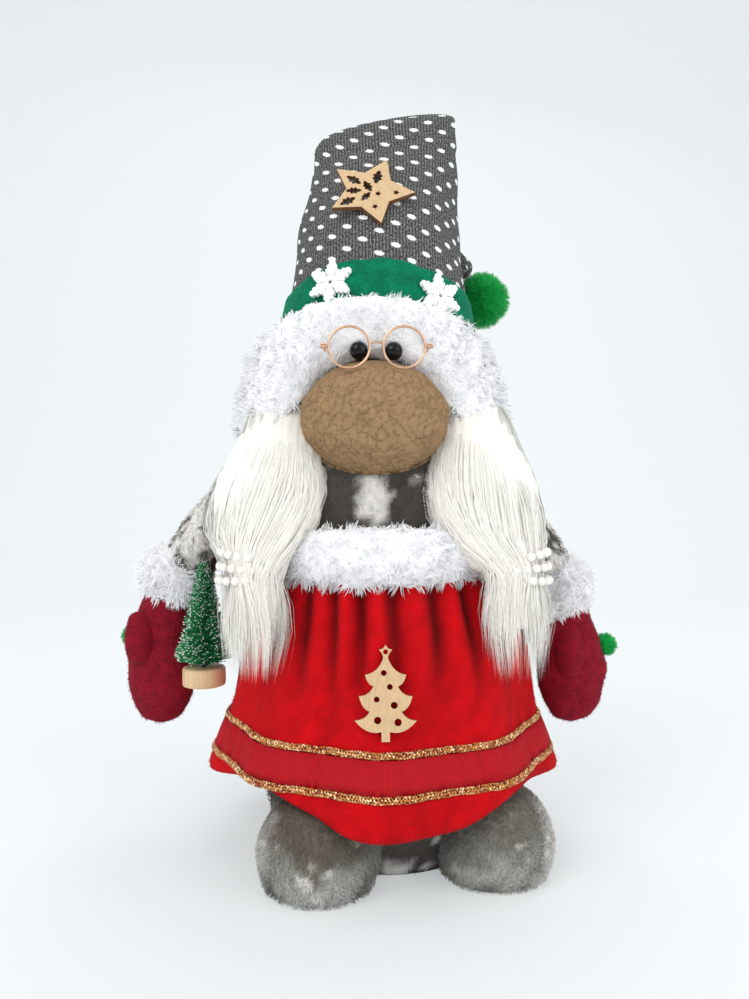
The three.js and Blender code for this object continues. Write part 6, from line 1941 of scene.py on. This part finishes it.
class GNOME_OT_stage(bpy.types.Operator):
    """The pale floor with its curved backdrop, the lights and the camera"""

    bl_idname = "gnome.stage"
    bl_label = "Stage"

    def execute(self, context):
        scene = context.scene
        # The floor bends up into the backdrop along a quarter circle
        bend = np.linspace(0, PI / 2, 12)[1:]
        depth = np.concatenate([np.linspace(-1600, 900, 12), 900 + 700 * np.sin(bend), [1600]])
        height = np.concatenate([np.zeros(12), 700 - 700 * np.cos(bend), [3000]])
        across = np.linspace(-2600, 2600, 12)[:, None]
        grid = np.stack(np.broadcast_arrays(across, depth, height), -1)
        corner = (np.arange(11)[:, None] * len(depth) + np.arange(len(depth) - 1)).reshape(-1, 1)
        faces = corner + np.array([0, len(depth), len(depth) + 1, 1])
        tree, surface = new_finish("floor", Base_Color=scene.gnome_colours.floor, Roughness=0.9,
                                   Specular_IOR_Level=0.1)
        glow = tree.nodes.new("ShaderNodeEmission")
        glow.inputs[0].default_value = (0.76, 0.8, 0.805, 1)
        mixed_output(surface, light_path(tree, "Camera") * 0.5, glow)
        floor = new_piece("floor", grid.reshape(-1, 3), [faces], "floor")
        world = bpy.data.worlds.new("studio")
        world.use_nodes = True
        sky = world.node_tree.nodes["Background"]
        sky.inputs["Color"].default_value = (0.94, 0.97, 1.0, 1)
        sky.inputs["Strength"].default_value = 0.7
        scene.world = world
        aim = Vector((0, 0, 0.2))
        for name, place, size, power in (("window", (-1.1, -1.3, 1.5), 1.4, 22),
                                         ("fill", (1.3, -1.0, 0.9), 1.6, 12),
                                         ("top", (0.2, 0.6, 1.7), 1.2, 9)):
            light = bpy.data.lights.new(name, "AREA")
            light.size = size
            light.energy = power
            lamp = bpy.data.objects.new(name, light)
            lamp.location = place
            lamp.rotation_euler = (aim - Vector(place)).to_track_quat("-Z", "Y").to_euler()
            scene.collection.objects.link(lamp)
        camera = bpy.data.cameras.new("camera")
        camera.sensor_fit = "VERTICAL"
        camera.sensor_height = camera.sensor_width = 36
        camera.lens = camera.sensor_height * 750 / 999  # 750 pixels of the photograph's 999
        camera.clip_start = 0.01
        viewer = bpy.data.objects.new("camera", camera)
        viewer.location = (-0.006, -0.425, 0.185)
        viewer.rotation_euler = (PI / 2, 0, 0)
        scene.collection.objects.link(viewer)
        scene.camera = viewer
        scene.view_settings.view_transform = "Standard"
        return {"FINISHED"}


OPERATORS = (GNOME_OT_stage, GNOME_OT_body, GNOME_OT_feet, GNOME_OT_skirt, GNOME_OT_waist,
             GNOME_OT_brim, GNOME_OT_nose, GNOME_OT_glasses, GNOME_OT_hat, GNOME_OT_ornaments,
             GNOME_OT_hair, GNOME_OT_arms, GNOME_OT_tree)


class GNOME_PT_panel(bpy.types.Panel):
    """Lists the gnome's pieces, sizes and colours"""

    bl_idname = "GNOME_PT_panel"
    bl_label = "Fabric Gnome"
    bl_space_type = "VIEW_3D"
    bl_region_type = "UI"
    bl_category = "Gnome"

    def draw(self, context):
        for settings in (context.scene.gnome_fur, context.scene.gnome_colours):
            box = self.layout.box()
            for name in settings.__annotations__:
                box.prop(settings, name)
        for operator in OPERATORS:
            self.layout.operator(operator.bl_idname)


CLASSES = (GnomeFurSettings, GnomeColourSettings, *OPERATORS, GNOME_PT_panel)


def register():
    for each in CLASSES:
        bpy.utils.register_class(each)
    bpy.types.Scene.gnome_fur = PointerProperty(type=GnomeFurSettings)
    bpy.types.Scene.gnome_colours = PointerProperty(type=GnomeColourSettings)


def unregister():
    del bpy.types.Scene.gnome_colours
    del bpy.types.Scene.gnome_fur
    for each in reversed(CLASSES):
        bpy.utils.unregister_class(each)


def main():
    register()
    make_finishes()
    bpy.ops.gnome.stage()
    bpy.ops.gnome.body()
    bpy.ops.gnome.feet()
    bpy.ops.gnome.skirt()
    bpy.ops.gnome.waist()
    bpy.ops.gnome.brim()
    bpy.ops.gnome.nose()
    bpy.ops.gnome.glasses()
    bpy.ops.gnome.hat()
    bpy.ops.gnome.ornaments()
    bpy.ops.gnome.hair()
    bpy.ops.gnome.arms()
    bpy.ops.gnome.tree()


if __name__ == "__main__":
    main()
